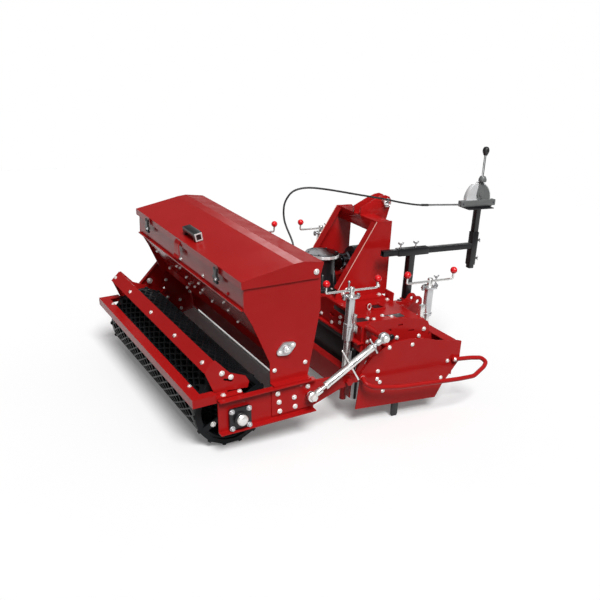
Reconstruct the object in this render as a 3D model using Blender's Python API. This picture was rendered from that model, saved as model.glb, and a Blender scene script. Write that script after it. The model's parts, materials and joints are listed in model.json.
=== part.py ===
"""Combination seed drill for a small tractor: a power harrow carrying a seeder with a mesh roller.

Metres, +Z up, +Y is the direction of travel and +X the machine's right-hand side.
The harrow stands level. The seeder hangs behind it on two arms and is tipped up at its front
by SEEDER_TILT, so its pieces are drawn level and parented to a tilted empty.
"""
import math

import bmesh
import bpy
from mathutils import Matrix, Vector
from mathutils.geometry import tessellate_polygon

# Place of the whole machine
Y_CENTRE = 0.304
SEEDER_TILT = math.radians(4.34)
SEEDER_LIFT = 0.0514

# Harrow
TROUGH_END = 0.605
TROUGH_REAR = 0.250
TROUGH_FRONT = 0.620
TROUGH_LOW = 0.340
TROUGH_TOP = 0.470
PANEL_X = 0.680
SHEET = 0.006
ROTOR_PITCH = 0.250
ROTOR_Y = 0.430
TINE_RADIUS = 0.102
JACK_X = 0.544
JACK_REAR_Y = 0.2045
JACK_FRONT_Y = 0.667
CRANK_ARM = 0.144
CRANK_Z = 0.6455
KNOB_RADIUS = 0.0178
TOWER_X = 0.193
TOWER_SHEET = 0.008
TOP_PIN = (0.712, 0.928)
LOWER_PIN = (0.740, 0.473)
LOWER_SPREAD = 0.3415
PTO_Z = 0.610
GEARBOX_Y = 0.358
CONSOLE_X = 0.281
POST_Y = 0.730
ARM_Z = 0.7245
STEM_Y = 1.148
LEVER_PIVOT = (1.145, 1.010)

# Seeder, drawn level in its own frame
ROLLER_Y = -0.420
ROLLER_Z = 0.161
ROLLER_RADIUS = 0.180
CAGE_RADIUS = 0.173
CAGE_WALL = 0.016
CAGE_HALF = 0.608
HOLES_ROUND = 12
HOLES_ALONG = 13
WEB_X = 0.692
HOPPER_SIDE_X = 0.672
FEED_Y = -0.176
FEED_Z = 0.426
LID_PIVOT = (-0.025, 0.760)
ARM_PIVOT = (0.120, 0.262)
CLEVIS = (-0.077, 0.192)
LINK_X = 0.745
LINK_TOP = (0.271, 0.472)
CABLE_X = 0.290

FINISHES = {
    "red": ((0.45, 0.012, 0.016), 0.28, 0.0),
    "black": ((0.012, 0.012, 0.014), 0.42, 0.0),
    "zinc": ((0.62, 0.62, 0.60), 0.25, 1.0),
    "galvanised": ((0.48, 0.49, 0.49), 0.45, 1.0),
    "iron": ((0.20, 0.20, 0.21), 0.45, 0.8),
}


def clear_scene():
    for old in list(bpy.data.objects):
        bpy.data.objects.remove(old, do_unlink=True)


def material(name, finish):
    colour, roughness, metallic = FINISHES[finish]
    made = bpy.data.materials.new(name)
    made.use_nodes = True
    shader = made.node_tree.nodes["Principled BSDF"]
    shader.inputs["Base Color"].default_value = (*colour, 1.0)
    shader.inputs["Roughness"].default_value = roughness
    shader.inputs["Metallic"].default_value = metallic
    return made


# Outlines

def circle(a, b, radius, count=16, turn=0.0):
    step = 2 * math.pi / count
    return [(a + radius * math.cos(turn + i * step), b + radius * math.sin(turn + i * step))
            for i in range(count)]


def arc(a, b, radius, start, end, count):
    angles = [math.radians(start + (end - start) * i / count) for i in range(count + 1)]
    return [(a + radius * math.cos(t), b + radius * math.sin(t)) for t in angles]


def slot(a, b, half, radius, tilt=0.0, count=4):
    """A long hole with round ends."""
    points = arc(half, 0.0, radius, -90, 90, count) + arc(-half, 0.0, radius, 90, 270, count)
    c = math.cos(math.radians(tilt))
    s = math.sin(math.radians(tilt))
    return [(a + u * c - v * s, b + u * s + v * c) for u, v in points]


def strip(points, thickness):
    """Closed outline of a folded sheet whose one face follows the points."""
    offset = []
    last = len(points) - 1
    for i, point in enumerate(points):
        here = Vector(point)
        normals = []
        if i > 0:
            d = (here - Vector(points[i - 1])).normalized()
            normals.append(Vector((-d.y, d.x)))
        if i < last:
            d = (Vector(points[i + 1]) - here).normalized()
            normals.append(Vector((-d.y, d.x)))
        if len(normals) == 1:
            mitre = normals[0]
        else:
            mitre = (normals[0] + normals[1]) / (1 + normals[0].dot(normals[1]))
        moved = here + mitre * thickness
        offset.append((moved.x, moved.y))
    return list(points) + offset[::-1]


# Solids, each returned as a closed bmesh

def prism(outline, low, high, axis="X", holes=()):
    loops = [list(outline)] + [list(h) for h in holes]
    flat = [p for loop in loops for p in loop]
    triangles = tessellate_polygon([[Vector((a, b, 0.0)) for a, b in loop] for loop in loops])

    def place(a, b, c):
        return {"X": (c, a, b), "Y": (a, c, b), "Z": (a, b, c)}[axis]

    bm = bmesh.new()
    lower = [bm.verts.new(place(a, b, low)) for a, b in flat]
    upper = [bm.verts.new(place(a, b, high)) for a, b in flat]
    for t in triangles:
        bm.faces.new([lower[i] for i in t])
        bm.faces.new([upper[i] for i in reversed(t)])
    start = 0
    for loop in loops:
        count = len(loop)
        for i in range(count):
            j = (i + 1) % count
            bm.faces.new((lower[start + i], lower[start + j], upper[start + j], upper[start + i]))
        start += count
    bmesh.ops.recalc_face_normals(bm, faces=bm.faces)
    return bm


def box(low, high):
    outline = [(low[0], low[1]), (high[0], low[1]), (high[0], high[1]), (low[0], high[1])]
    return prism(outline, low[2], high[2], "Z")


def lathe(profile, base, direction, count=20, ring=False):
    """Turn (radius, height) points about the line from base along direction."""
    turn = Vector(direction).to_track_quat("Z", "Y").to_matrix()
    base = Vector(base)
    bm = bmesh.new()
    rows = []
    for radius, height in profile:
        if radius < 1e-9:
            rows.append([bm.verts.new(base + turn @ Vector((0, 0, height)))])
            continue
        row = []
        for i in range(count):
            t = 2 * math.pi * i / count
            row.append(bm.verts.new(base
                                    + turn @ Vector((radius * math.cos(t), radius * math.sin(t), height))))
        rows.append(row)
    pairs = list(zip(rows, rows[1:]))
    if ring:
        pairs.append((rows[-1], rows[0]))
    for first, second in pairs:
        for i in range(count):
            j = (i + 1) % count
            if len(first) == 1:
                bm.faces.new((first[0], second[i], second[j]))
            elif len(second) == 1:
                bm.faces.new((first[i], first[j], second[0]))
            else:
                bm.faces.new((first[i], first[j], second[j], second[i]))
    if not ring:
        for row in (rows[0], rows[-1]):
            if len(row) > 1:
                bm.faces.new(row)
    bmesh.ops.recalc_face_normals(bm, faces=bm.faces)
    return bm


def rod(start, end, radius, count=12):
    start = Vector(start)
    length = (Vector(end) - start).length
    return lathe([(radius, 0), (radius, length)], start, Vector(end) - start, count)


def pipe(start, end, radius, bore, count=16):
    start = Vector(start)
    length = (Vector(end) - start).length
    profile = [(bore, 0), (radius, 0), (radius, length), (bore, length)]
    return lathe(profile, start, Vector(end) - start, count, ring=True)


def ball(centre, radius, count=12, rows=8):
    profile = [(radius * math.sin(math.pi * i / rows), -radius * math.cos(math.pi * i / rows))
               for i in range(rows + 1)]
    profile[0] = (0.0, -radius)
    profile[-1] = (0.0, radius)
    return lathe(profile, centre, (0, 0, 1), count)


def square_tube(centre, low, high, side, bore, axis):
    """Square tube along an axis; centre gives the two other coordinates."""
    half = side / 2
    a, b = centre
    outer = [(a - half, b - half), (a + half, b - half), (a + half, b + half), (a - half, b + half)]
    h = bore / 2
    inner = [(a - h, b - h), (a + h, b - h), (a + h, b + h), (a - h, b + h)]
    return prism(outer, low, high, axis, [inner])


# Objects

def mesh_object(name, bm):
    mesh = bpy.data.meshes.new(name)
    bm.to_mesh(mesh)
    bm.free()
    made = bpy.data.objects.new(name, mesh)
    bpy.context.scene.collection.objects.link(made)
    return made


def combine(target, other, operation):
    step = target.modifiers.new(operation.lower(), "BOOLEAN")
    step.operation = operation
    step.solver = "EXACT"
    step.object = other
    graph = bpy.context.evaluated_depsgraph_get()
    result = bpy.data.meshes.new_from_object(target.evaluated_get(graph))
    target.modifiers.clear()
    target.data = result
    bpy.data.objects.remove(other, do_unlink=True)


def carved(part, cutter):
    """The part without the cutter, as a bmesh again."""
    made = mesh_object("carved", part)
    combine(made, mesh_object("carved_cut", cutter), "DIFFERENCE")
    bm = bmesh.new()
    bm.from_mesh(made.data)
    bpy.data.objects.remove(made, do_unlink=True)
    return bm


def solid(name, finish, parts, cuts=(), parent=None, origin=(0, 0, 0), smooth=None):
    """Unite the parts, cut the cuts away and put the origin on the joint."""
    made = mesh_object(name, parts[0])
    for extra in parts[1:]:
        combine(made, mesh_object(name + "_add", extra), "UNION")
    for cutter in cuts:
        combine(made, mesh_object(name + "_cut", cutter), "DIFFERENCE")
    made.data.transform(Matrix.Translation(-Vector(origin)))
    made.data.name = name
    made.location = origin
    made.parent = parent
    made.data.materials.clear()
    made.data.materials.append(material(name, finish))
    if smooth:
        made.data.shade_smooth()
        made.data.set_sharp_from_angle(angle=math.radians(smooth))
    else:
        made.data.shade_flat()
    return made


def sides():
    """Right side first, then left: (sign, name ending)."""
    return ((1, "right"), (-1, "left"))


def span(sign, low, high):
    """Both ends of a stretch of X on one side, in rising order."""
    return (low, high) if sign > 0 else (-high, -low)


# Harrow frame

def gear_trough(parent):
    body = box((-TROUGH_END, TROUGH_REAR, TROUGH_LOW), (TROUGH_END, TROUGH_FRONT, TROUGH_TOP))
    bmesh.ops.bevel(body, geom=[e for e in body.edges if e.verts[0].co.z != e.verts[1].co.z],
                    offset=0.012, segments=2, affect="EDGES")
    flange = box((-TROUGH_END + 0.004, TROUGH_REAR - 0.0255, 0.385),
                 (TROUGH_END - 0.004, TROUGH_FRONT - 0.02, 0.393))
    edge = [(0.535, 0.372), (0.535, 0.480), (0.500, 0.516), (0.250, 0.516), (0.215, 0.500)]
    windows = [slot(sign * 0.390, 0.4900, 0.045, 0.0125) for sign in (1, -1)]
    plate = prism(edge + [(-x, z) for x, z in reversed(edge)], TROUGH_REAR - 0.0075, TROUGH_REAR + 0.002, "Y",
                  windows)
    cuts = []
    for x in (-0.45, -0.33, 0.33, 0.45):
        cuts.append(prism(slot(x, 0.445, 0.014, 0.008), TROUGH_REAR - 0.02, TROUGH_REAR - 0.001, "Y"))
    cuts.append(box((-TROUGH_END + 0.016, TROUGH_REAR + 0.016, TROUGH_LOW + 0.012),
                    (TROUGH_END - 0.016, TROUGH_FRONT - 0.016, TROUGH_TOP - 0.012)))
    for k in range(5):
        x = (k - 2) * ROTOR_PITCH
        cuts.append(rod((x, ROTOR_Y, TROUGH_LOW - 0.01), (x, ROTOR_Y, TROUGH_LOW + 0.02), 0.0320, 12))
    return solid("gear_trough", "red", [body, flange, plate], cuts, parent)


def side_bracket(sign, ending, parent):
    """Upright plate at the trough's end, with the arm pivot and the top link's pin."""
    y0 = 0.262
    outline = [(y0, 0.345), (y0, 0.484), (0.285, 0.502), (0.446, 0.502), (0.600, 0.476), (0.628, 0.462),
               (0.640, 0.438), (0.640, 0.345)]
    holes = [slot(0.529, 0.425, 0.012, 0.006), circle(0.40, 0.4425, 0.009, 8),
             slot(0.46, 0.4635, 0.010, 0.005)]
    plate = prism(outline, *span(sign, 0.6055, 0.6135), "X", holes)
    lip = prism([(0.30, 0.4945), (0.44, 0.4945), (0.44, 0.5015), (0.30, 0.5015)], *span(sign, 0.570, 0.606),
                "X")
    ear = [(0.092, 0.240), (0.150, 0.232), (0.310, 0.236), (0.310, 0.400), (0.262, 0.412), (0.206, 0.345),
           (0.168, 0.272), (0.105, 0.288), (0.090, 0.272)]
    hinge = prism(ear, *span(sign, 0.6690, 0.6790), "X", [slot(0.235, 0.335, 0.016, 0.006, 60)])
    web = box((min(sign * 0.611, sign * 0.672), 0.272, 0.352),
              (max(sign * 0.611, sign * 0.672), 0.302, 0.398))
    pin = rod((sign * 0.674, *ARM_PIVOT), (sign * 0.722, *ARM_PIVOT), 0.0115, 14)
    head = rod((sign * 0.7145, *ARM_PIVOT), (sign * 0.7245, *ARM_PIVOT), 0.019, 6)
    parts = [plate, lip, web, hinge, pin, head]
    if sign > 0:
        parts.append(rod((0.610, *LINK_TOP), (0.772, *LINK_TOP), 0.0095, 12))
        parts.append(rod((0.610, *LINK_TOP), (0.728, *LINK_TOP), 0.016, 14))
    return solid("side_bracket_" + ending, "red", parts, (), parent)


def side_panel(sign, ending, parent):
    outline = [(0.190, 0.092), (0.669, 0.072), (0.707, 0.141), (0.798, 0.257), (0.798, 0.361), (0.770, 0.369),
               (0.640, 0.386), (0.560, 0.408), (0.470, 0.418), (0.385, 0.412), (0.318, 0.385), (0.257, 0.349),
               (0.205, 0.285), (0.198, 0.198)]
    plate = prism(outline, *span(sign, PANEL_X, PANEL_X + SHEET), "X")
    parts = [plate]
    for y, z in ((0.360, 0.385), (0.600, 0.372)):
        parts.append(rod((sign * 0.6140, y, z), (sign * 0.683, y, z), 0.012, 10))
    parts.append(prism(strip([(0.202, 0.098), (0.665, 0.0785)], -0.005), *span(sign, 0.664, 0.6835), "X"))
    guide = [(0.6805, 0.4145), (0.6805, 0.4218), (0.6508, 0.4218), (0.6508, 0.4642), (0.6805, 0.4642),
             (0.6805, 0.4715),
             (0.6440, 0.4715), (0.6440, 0.4145)]
    parts.append(prism([(sign * a, b) for a, b in guide], 0.2300, 0.3200, "Z"))
    return solid("side_panel_" + ending, "red", parts, (), parent)


def guard_hoop(sign, ending, parent):
    route = [(0.6990, 0.205, 0.262), (0.728, 0.202, 0.245), (0.752, 0.240, 0.228), (0.767, 0.381, 0.213),
             (0.781, 0.730, 0.204), (0.776, 0.830, 0.205), (0.752, 0.905, 0.222),
             (0.722, 0.944, 0.243), (0.702, 0.935, 0.258), (0.692, 0.895, 0.270), (0.6990, 0.800, 0.262),
             (0.6990, 0.760, 0.258)]
    points = bent(route, 0.018)
    tube = swept(points, 0.0115, 8)
    pads = []
    for y, z in ((0.205, 0.262), (0.760, 0.258)):
        pads.append(rod((0.6864, y, z), (0.700, y, z), 0.017, 8))
    parts = [tube] + pads
    if sign < 0:
        for bm in parts:
            bmesh.ops.scale(bm, vec=(-1, 1, 1), verts=bm.verts)
            bmesh.ops.reverse_faces(bm, faces=bm.faces)
    return solid("guard_hoop_" + ending, "red", parts, (), parent, smooth=40)


def bent(route, radius, steps=1):
    """Round the corners of a route."""
    points = [Vector(route[0])]
    for before, here, after in zip(route, route[1:], route[2:]):
        before, here, after = Vector(before), Vector(here), Vector(after)
        back = (before - here)
        ahead = (after - here)
        reach = min(radius, back.length * 0.4, ahead.length * 0.4)
        start = here + back.normalized() * reach
        end = here + ahead.normalized() * reach
        for i in range(steps + 1):
            t = i / steps
            points.append(start * (1 - t) ** 2 + here * (2 * t * (1 - t)) + end * t ** 2)
    points.append(Vector(route[-1]))
    return points


def swept(points, radius, count=10):
    """Round bar along the points, its sections carried along without twist."""
    bm = bmesh.new()
    rows = []
    side = None
    last = len(points) - 1
    for i, point in enumerate(points):
        ahead = (points[min(i + 1, last)] - points[max(i - 1, 0)]).normalized()
        if side is None:
            side = ahead.orthogonal().normalized()
        side = (side - ahead * side.dot(ahead)).normalized()
        other = ahead.cross(side)
        row = []
        for k in range(count):
            t = 2 * math.pi * k / count
            row.append(bm.verts.new(point + side * radius * math.cos(t) + other * radius * math.sin(t)))
        rows.append(row)
    for first, second in zip(rows, rows[1:]):
        for i in range(count):
            j = (i + 1) % count
            bm.faces.new((first[i], first[j], second[j], second[i]))
    bm.faces.new(rows[0])
    bm.faces.new(rows[-1])
    bmesh.ops.recalc_face_normals(bm, faces=bm.faces)
    return bm


def parking_leg(sign, ending, parent):
    outline = [(0.4225, 0.330), (0.4235, 0.010), (0.428, 0.0), (0.456, 0.0), (0.4605, 0.010),
               (0.4635, 0.330)]
    leg = prism(outline, *span(sign, 0.6520, 0.6635), "X",
                [circle(0.443, 0.30, 0.006, 8), circle(0.443, 0.26, 0.006, 8)])
    return solid("parking_leg_" + ending, "black", [leg], (), parent, origin=(sign * 0.658, 0.443, 0.165))


# Hitch and gearbox

def tower_plate(sign, ending, parent):
    outline = [(0.335, TROUGH_TOP + 0.0004), (0.655, TROUGH_TOP + 0.0004), (0.6535, 0.52), (0.6485, 0.872),
               (0.5530, 0.872), (0.3460, 0.515)]
    plate = prism(outline, *span(sign, TOWER_X, TOWER_X + TOWER_SHEET), "X")
    edge = strip([(0.3490, 0.520), (0.5500, 0.8665)], -0.0055)
    flange = prism(edge, *span(sign, 0.156, TOWER_X + 0.004), "X")
    foot = box((min(sign * 0.150, sign * 0.258), 0.372, TROUGH_TOP + 0.0004),
               (max(sign * 0.150, sign * 0.258), 0.610, TROUGH_TOP + 0.010))
    return solid("tower_plate_" + ending, "red", [plate, flange, foot], (), parent)


def tower_head(parent):
    """Box beam across the tower's top with the two ears of the top link."""
    beam = box((-TOWER_X + 0.0006, 0.562, 0.805), (TOWER_X - 0.0006, 0.645, 0.870))
    inside = box((-0.150, 0.568, 0.811), (0.150, 0.66, 0.864))
    ear = [(0.570, 0.835), (0.556, 0.872), (0.556, 0.908), (0.626, 0.944), (0.680, 0.966), (0.712, 0.970),
           (0.737, 0.961), (0.751, 0.940), (0.745, 0.905), (0.730, 0.840), (0.700, 0.812), (0.600, 0.812)]
    right = prism(ear, 0.026, 0.034, "X")
    left = prism(ear, -0.034, -0.026, "X")
    bore = rod((-0.05, *TOP_PIN), (0.05, *TOP_PIN), 0.0100, 12)
    return solid("tower_head", "red", [beam, right, left], [inside, bore], parent)


def top_pin(parent):
    y, z = TOP_PIN
    body = lathe([(0.0095, 0), (0.0095, 0.094), (0.014, 0.094), (0.014, 0.102)], (-0.050, y, z), (1, 0, 0),
                 12)
    return solid("top_link_pin", "zinc", [body], (), parent, smooth=40)


def hitch_lugs(sign, ending, parent):
    y, z = LOWER_PIN
    front = TROUGH_FRONT + 0.0005
    outline = [(front, 0.387), (0.774, 0.387), (0.771, 0.440)]
    outline += arc(y, z, 0.030, -10, 170, 5)
    outline += [(0.690, 0.462), (front, 0.462)]
    parts = [box((min(sign * 0.300, sign * 0.383), front, 0.392),
                 (max(sign * 0.300, sign * 0.383), front + 0.008, 0.458))]
    parts.append(box((min(sign * 0.240, sign * 0.310), front, 0.426),
                     (max(sign * 0.240, sign * 0.310), front + 0.008, 0.512)))
    for x in (LOWER_SPREAD - 0.031, LOWER_SPREAD + 0.023):
        parts.append(prism(outline, *span(sign, x, x + 0.008), "X"))
    cuts = [rod((sign * 0.29, y, z), (sign * 0.39, y, z), 0.0112, 12)]
    if sign > 0:
        parts.append(square_tube((CONSOLE_X, POST_Y), 0.387, 0.462, 0.0460, 0.0366, "Z"))
        parts.append(box((0.264, front, 0.400), (0.298, 0.711, 0.450)))
    return solid("hitch_lugs_" + ending, "red", parts, cuts, parent)


def gearbox(parent):
    """Housing with its round cover, the input snout and the shaft guard."""
    base = TROUGH_TOP + 0.0004
    housing = lathe([(0.098, base), (0.098, base + 0.016), (0.074, base + 0.024), (0.074, 0.640),
                     (0.088, 0.648),
                     (0.090, 0.652), (0.090, 0.668), (0.086, 0.672), (0.030, 0.674)], (0, GEARBOX_Y, 0),
                     (0, 0, 1), 18)
    snout = lathe([(0.0530, 0.020), (0.0530, 0.100), (0.0430, 0.118), (0.0430, 0.150), (0.0500, 0.156),
                   (0.0500, 0.184)],
                  (0, GEARBOX_Y, PTO_Z), (0, 1, 0), 14)
    guard = lathe([(0.0300, 0), (0.0780, 0), (0.0860, 0.121), (0.0820, 0.121), (0.0745, 0.006),
                   (0.0300, 0.006)],
                  (0, 0.532, PTO_Z), (0, 1, 0), 16, ring=True)
    bore = rod((0, 0.480, PTO_Z), (0, 0.570, PTO_Z), 0.0185, 12)
    return solid("gearbox", "black", [housing, snout, guard], [bore], parent, smooth=35)


def input_shaft(parent):
    origin = (0, 0.590, PTO_Z)
    profile = [(0.0176, -0.100), (0.0176, 0.068), (0.0150, 0.070), (0.0150, 0.074), (0.0176, 0.076),
               (0.0176, 0.096),
               (0.0155, 0.099)]
    shaft = lathe(profile, origin, (0, 1, 0), 12)
    return solid("input_shaft", "zinc", [shaft], (), parent, origin=origin, smooth=30)


def rotors(parent):
    """Five tine rotors in a row, each a quarter turn from its neighbours."""
    tine = [(-0.017, 0.250), (-0.015, 0.120), (-0.009, 0.004), (-0.004, 0.0008), (0.004, 0.0008),
            (0.010, 0.010), (0.015, 0.120), (0.017, 0.250)]
    for k in range(5):
        x = (k - 2) * ROTOR_PITCH
        hub = lathe([(0.030, 0.236), (0.052, 0.250), (0.052, 0.300), (0.028, 0.312), (0.028, 0.4400)],
                    (0, 0, 0), (0, 0, 1), 10)
        bar = box((-0.112, -0.028, 0.234), (0.112, 0.028, 0.270))
        parts = [hub, bar]
        for sign in (1, -1):
            blade = prism([(p * sign, q) for p, q in tine],
                          *span(sign, TINE_RADIUS - 0.006, TINE_RADIUS + 0.006), "X")
            parts.append(blade)
        turn = Matrix.Rotation(math.radians(90 * (k % 2) + 45), 3, "Z")
        for bm in parts:
            bmesh.ops.rotate(bm, cent=(0, 0, 0), matrix=turn, verts=bm.verts)
            bmesh.ops.translate(bm, vec=(x, ROTOR_Y, 0), verts=bm.verts)
        solid("rotor_%d" % (k + 1), "black", parts, (), parent, origin=(x, ROTOR_Y, 0.30))


# Jacks and levelling boards

def jack_body(sign, y, ending, parent):
    """Outer tube of a jack with its foot on the trough."""
    profile = [(0.0090, 0.6080), (0.0180, 0.6080), (0.0215, 0.6040), (0.0215, 0.4810), (0.0260, 0.4790),
               (0.0260, 0.4670), (0.0175, 0.4670), (0.0175, 0.5990), (0.0090, 0.5990)]
    x = sign * JACK_X
    tube = lathe(profile, (x, y, 0), (0, 0, 1), 12, ring=True)
    if y < TROUGH_REAR:
        face = TROUGH_REAR - 0.0083
        stay = box((x - 0.011, y + 0.0190, 0.437), (x + 0.011, face, 0.530))
        foot = box((x - 0.024, face - 0.0070, 0.432), (x + 0.024, face, 0.468))
    else:
        face = TROUGH_FRONT + 0.0004
        stay = box((x - 0.011, face, 0.437), (x + 0.011, y - 0.0190, 0.530))
        foot = box((x - 0.024, face, 0.420), (x + 0.024, face + 0.0065, 0.4695))
    bore = rod((x, y, 0.40), (x, y, 0.5995), 0.0175, 12)
    return solid("jack_body_" + ending, "zinc", [tube, stay, foot], [bore], parent, smooth=40)


def jack_crank(sign, y, ending, parent):
    """Screw with its two-armed crank and ball knobs."""
    x = sign * JACK_X
    origin = (x, y, 0.6085)
    hub = lathe([(0.0080, 0.36), (0.0080, 0.6085), (0.0170, 0.6085), (0.0170, 0.626), (0.0105, 0.630),
                 (0.0105, 0.659), (0.0070, 0.663)], (x, y, 0), (0, 0, 1), 8)
    bar = rod((x, y - CRANK_ARM, CRANK_Z), (x, y + CRANK_ARM, CRANK_Z), 0.0060, 6)
    parts = [hub, bar]
    for end in (-1, 1):
        tip = y + end * (CRANK_ARM - 0.0005)
        parts.append(rod((x, tip, CRANK_Z - 0.0062), (x, tip, 0.682), 0.0058, 6))
        parts.append(ball((x, tip, 0.6905), KNOB_RADIUS, 8, 6))
    return solid("jack_crank_" + ending, "zinc", parts, (), parent, origin=origin, smooth=50)


def rear_board(parent):
    plate = prism(strip([(0.1990, 0.118), (0.1990, 0.232), (0.222, 0.250)], -0.005), -0.612, 0.612, "X")
    parts = [plate]
    cuts = []
    for sign in (1, -1):
        x = sign * JACK_X
        parts.append(rod((x, JACK_REAR_Y, 0.084), (x, JACK_REAR_Y, 0.552), 0.0165, 12))
        cuts.append(rod((x, JACK_REAR_Y, 0.300), (x, JACK_REAR_Y, 0.570), 0.0100, 10))
    return solid("levelling_board_rear", "red", parts, cuts, parent, origin=(0, JACK_REAR_Y, 0.20),
                 smooth=30)


def front_board(parent):
    plate = prism(strip([(0.772, 0.175), (0.772, 0.367), (0.712, 0.367)], 0.005), -0.668, 0.668, "X")
    parts = [plate]
    cuts = []
    for sign in (1, -1):
        x = sign * JACK_X
        parts.append(prism([(0.672, 0.225), (0.769, 0.190), (0.769, 0.3640), (0.710, 0.3640),
                            (0.672, 0.320)],
                           x - 0.004, x + 0.004, "X"))
        parts.append(rod((x, JACK_FRONT_Y, 0.215), (x, JACK_FRONT_Y, 0.552), 0.0165, 12))
        cuts.append(rod((x, JACK_FRONT_Y, 0.300), (x, JACK_FRONT_Y, 0.570), 0.0100, 10))
    return solid("levelling_board_front", "red", parts, cuts, parent, origin=(0, JACK_FRONT_Y, 0.30),
                 smooth=30)


# Control console

def console(parent):
    """Post, sliding arm and sliding stem, each clamped in the one before."""
    post = square_tube((CONSOLE_X, POST_Y), 0.3900, 0.7080, 0.0360, 0.0290, "Z")
    sleeve = square_tube((CONSOLE_X, ARM_Z), 0.640, 0.836, 0.0380, 0.0306, "Y")
    solid("console_post", "black", [post, sleeve], (), parent, origin=(CONSOLE_X, POST_Y, 0.39))
    arm = square_tube((CONSOLE_X, ARM_Z), 0.547, 1.1310, 0.0300, 0.0240, "Y")
    socket = square_tube((CONSOLE_X, STEM_Y), 0.616, 0.802, 0.0380, 0.0306, "Z")
    solid("console_arm", "black", [arm, socket], (), parent, origin=(CONSOLE_X, 0.547, ARM_Z))
    stem = square_tube((CONSOLE_X, STEM_Y), 0.596, 0.936, 0.0300, 0.0240, "Z")
    shelf = box((CONSOLE_X - 0.040, 1.056, 0.9350), (CONSOLE_X + 0.040, 1.230, 0.9405))
    solid("console_stem", "black", [stem, shelf], (), parent, origin=(CONSOLE_X, STEM_Y, 0.596))


def lever_base(parent):
    """Lever box with its quadrant and the steel tube that guides the cable out."""
    y, z = LEVER_PIVOT
    body = box((CONSOLE_X - 0.030, 1.032, 0.9410), (CONSOLE_X + 0.030, 1.258, 0.9740))
    quadrant = prism([(y - 0.066, 0.970)] + arc(y, z, 0.066, 180, 0, 10) + [(y + 0.066, 0.970)],
                     CONSOLE_X - 0.022, CONSOLE_X + 0.004, "X")
    nose = rod((CONSOLE_X, 0.8100, 0.9670), (CONSOLE_X, 1.0360, 0.9575), 0.0050, 10)
    pivot = rod((CONSOLE_X + 0.002, y, z), (CONSOLE_X + 0.0225, y, z), 0.0090, 12)
    return solid("lever_base", "iron", [body, quadrant, nose, pivot], (), parent, smooth=30)


def control_lever(parent):
    y, z = LEVER_PIVOT
    x0 = CONSOLE_X + 0.0046
    hub = prism(circle(y, z, 0.019, 14), x0, x0 + 0.010, "X", [circle(y, z, 0.0094, 12)])
    arm = prism([(y - 0.010, z + 0.014), (y + 0.010, z + 0.014), (y + 0.009, 1.092), (y - 0.009, 1.092)],
                x0 + 0.0005, x0 + 0.0095, "X")
    middle = x0 + 0.005
    boss = rod((middle, y, 1.0785), (middle, y, 1.104), 0.0120, 10)
    stick = rod((middle, y, 1.098), (middle, y, 1.232), 0.0055, 8)
    knob = lathe([(0.0080, 1.220), (0.0150, 1.228), (0.0180, 1.243), (0.0165, 1.256), (0.0100, 1.265),
                  (0.0, 1.267)],
                 (middle, y, 0), (0, 0, 1), 12)
    return solid("control_lever", "black", [hub, arm, boss, stick, knob], (), parent,
                 origin=(CONSOLE_X + 0.0096, y, z), smooth=40)


# Seeder frame

def channel(sign, ending, parent):
    """C-section side rail with its arm to the harrow and the upright that carries the scraper."""
    section = [(0.727, 0.101), (0.727, 0.107), (0.698, 0.107), (0.698, 0.258), (0.727, 0.258),
               (0.727, 0.264),
               (WEB_X, 0.264), (WEB_X, 0.101)]
    section = [(sign * a, b) for a, b in section]
    rail = prism(section, -0.517, -0.046, "Y")
    arm = [(-0.262, 0.122), (-0.050, 0.1220), (0.100, 0.172)] + arc(0.1356, 0.2009, 0.029, -90, 90,
                                                                    6) + [(-0.020, 0.246), (-0.262, 0.246)]
    parts = [rail, prism(arm, *span(sign, 0.6950, 0.7045), "X")]
    cuts = [rod((sign * 0.65, 0.1356, 0.2009), (sign * 0.75, 0.1356, 0.2009), 0.0122, 12)]
    cuts.append(rod((sign * 0.65, ROLLER_Y, ROLLER_Z), (sign * 0.75, ROLLER_Y, ROLLER_Z), 0.0240, 12))
    if sign > 0:
        parts.append(rod((0.700, *CLEVIS), (0.768, *CLEVIS), 0.0085, 10))
        parts.append(rod((0.700, *CLEVIS), (0.7285, *CLEVIS), 0.0150, 10))
    else:
        parts += drive_cover()
    return solid("side_rail_" + ending, "red", parts, cuts, parent)


def drive_cover():
    """Cover over the drive from the roller to the metering shaft, on two stand-offs from the rail."""
    turn = math.degrees(math.atan2(FEED_Z - ROLLER_Z, FEED_Y - ROLLER_Y))
    outer, inner = [arc(FEED_Y, FEED_Z, 0.055 + grow, turn - 90, turn + 90, 6)
                    + arc(ROLLER_Y, ROLLER_Z, 0.071 + grow, turn + 90, turn + 270, 7)
                    for grow in (0.003, 0)]
    parts = [carved(prism(outer, -0.7680, -0.7420, "X"), prism(inner, -0.7650, -0.7300, "X"))]
    for y, z in ((-0.345, 0.180), (-0.300, 0.235)):
        parts.append(rod((-0.7665, y, z), (-0.6960, y, z), 0.0080, 6))
    return parts


def rear_frame(parent):
    """Angle-iron frame round the roller, open at the front."""
    section = strip([(-0.630, 0.250), (-0.630, 0.290), (-0.580, 0.290)], -0.005)
    parts = [prism(section, -0.695, 0.695, "X")]
    for sign in (1, -1):
        low = strip([(sign * 0.695, 0.2500), (sign * 0.695, 0.2898), (sign * 0.652, 0.2898)], 0.005 * sign)
        parts.append(prism(low, -0.6290, -0.520, "Y"))
        tab = box((min(sign * 0.6575, sign * 0.694), -0.540, 0.2660),
                  (max(sign * 0.6575, sign * 0.694), -0.395, 0.2720))
        riser = box((min(sign * 0.668, sign * 0.674), -0.5300, 0.2680),
                    (max(sign * 0.668, sign * 0.674), -0.4600, 0.2870))
        parts.append(tab)
        parts.append(riser)
    return solid("roller_frame", "red", parts, (), parent)


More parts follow.
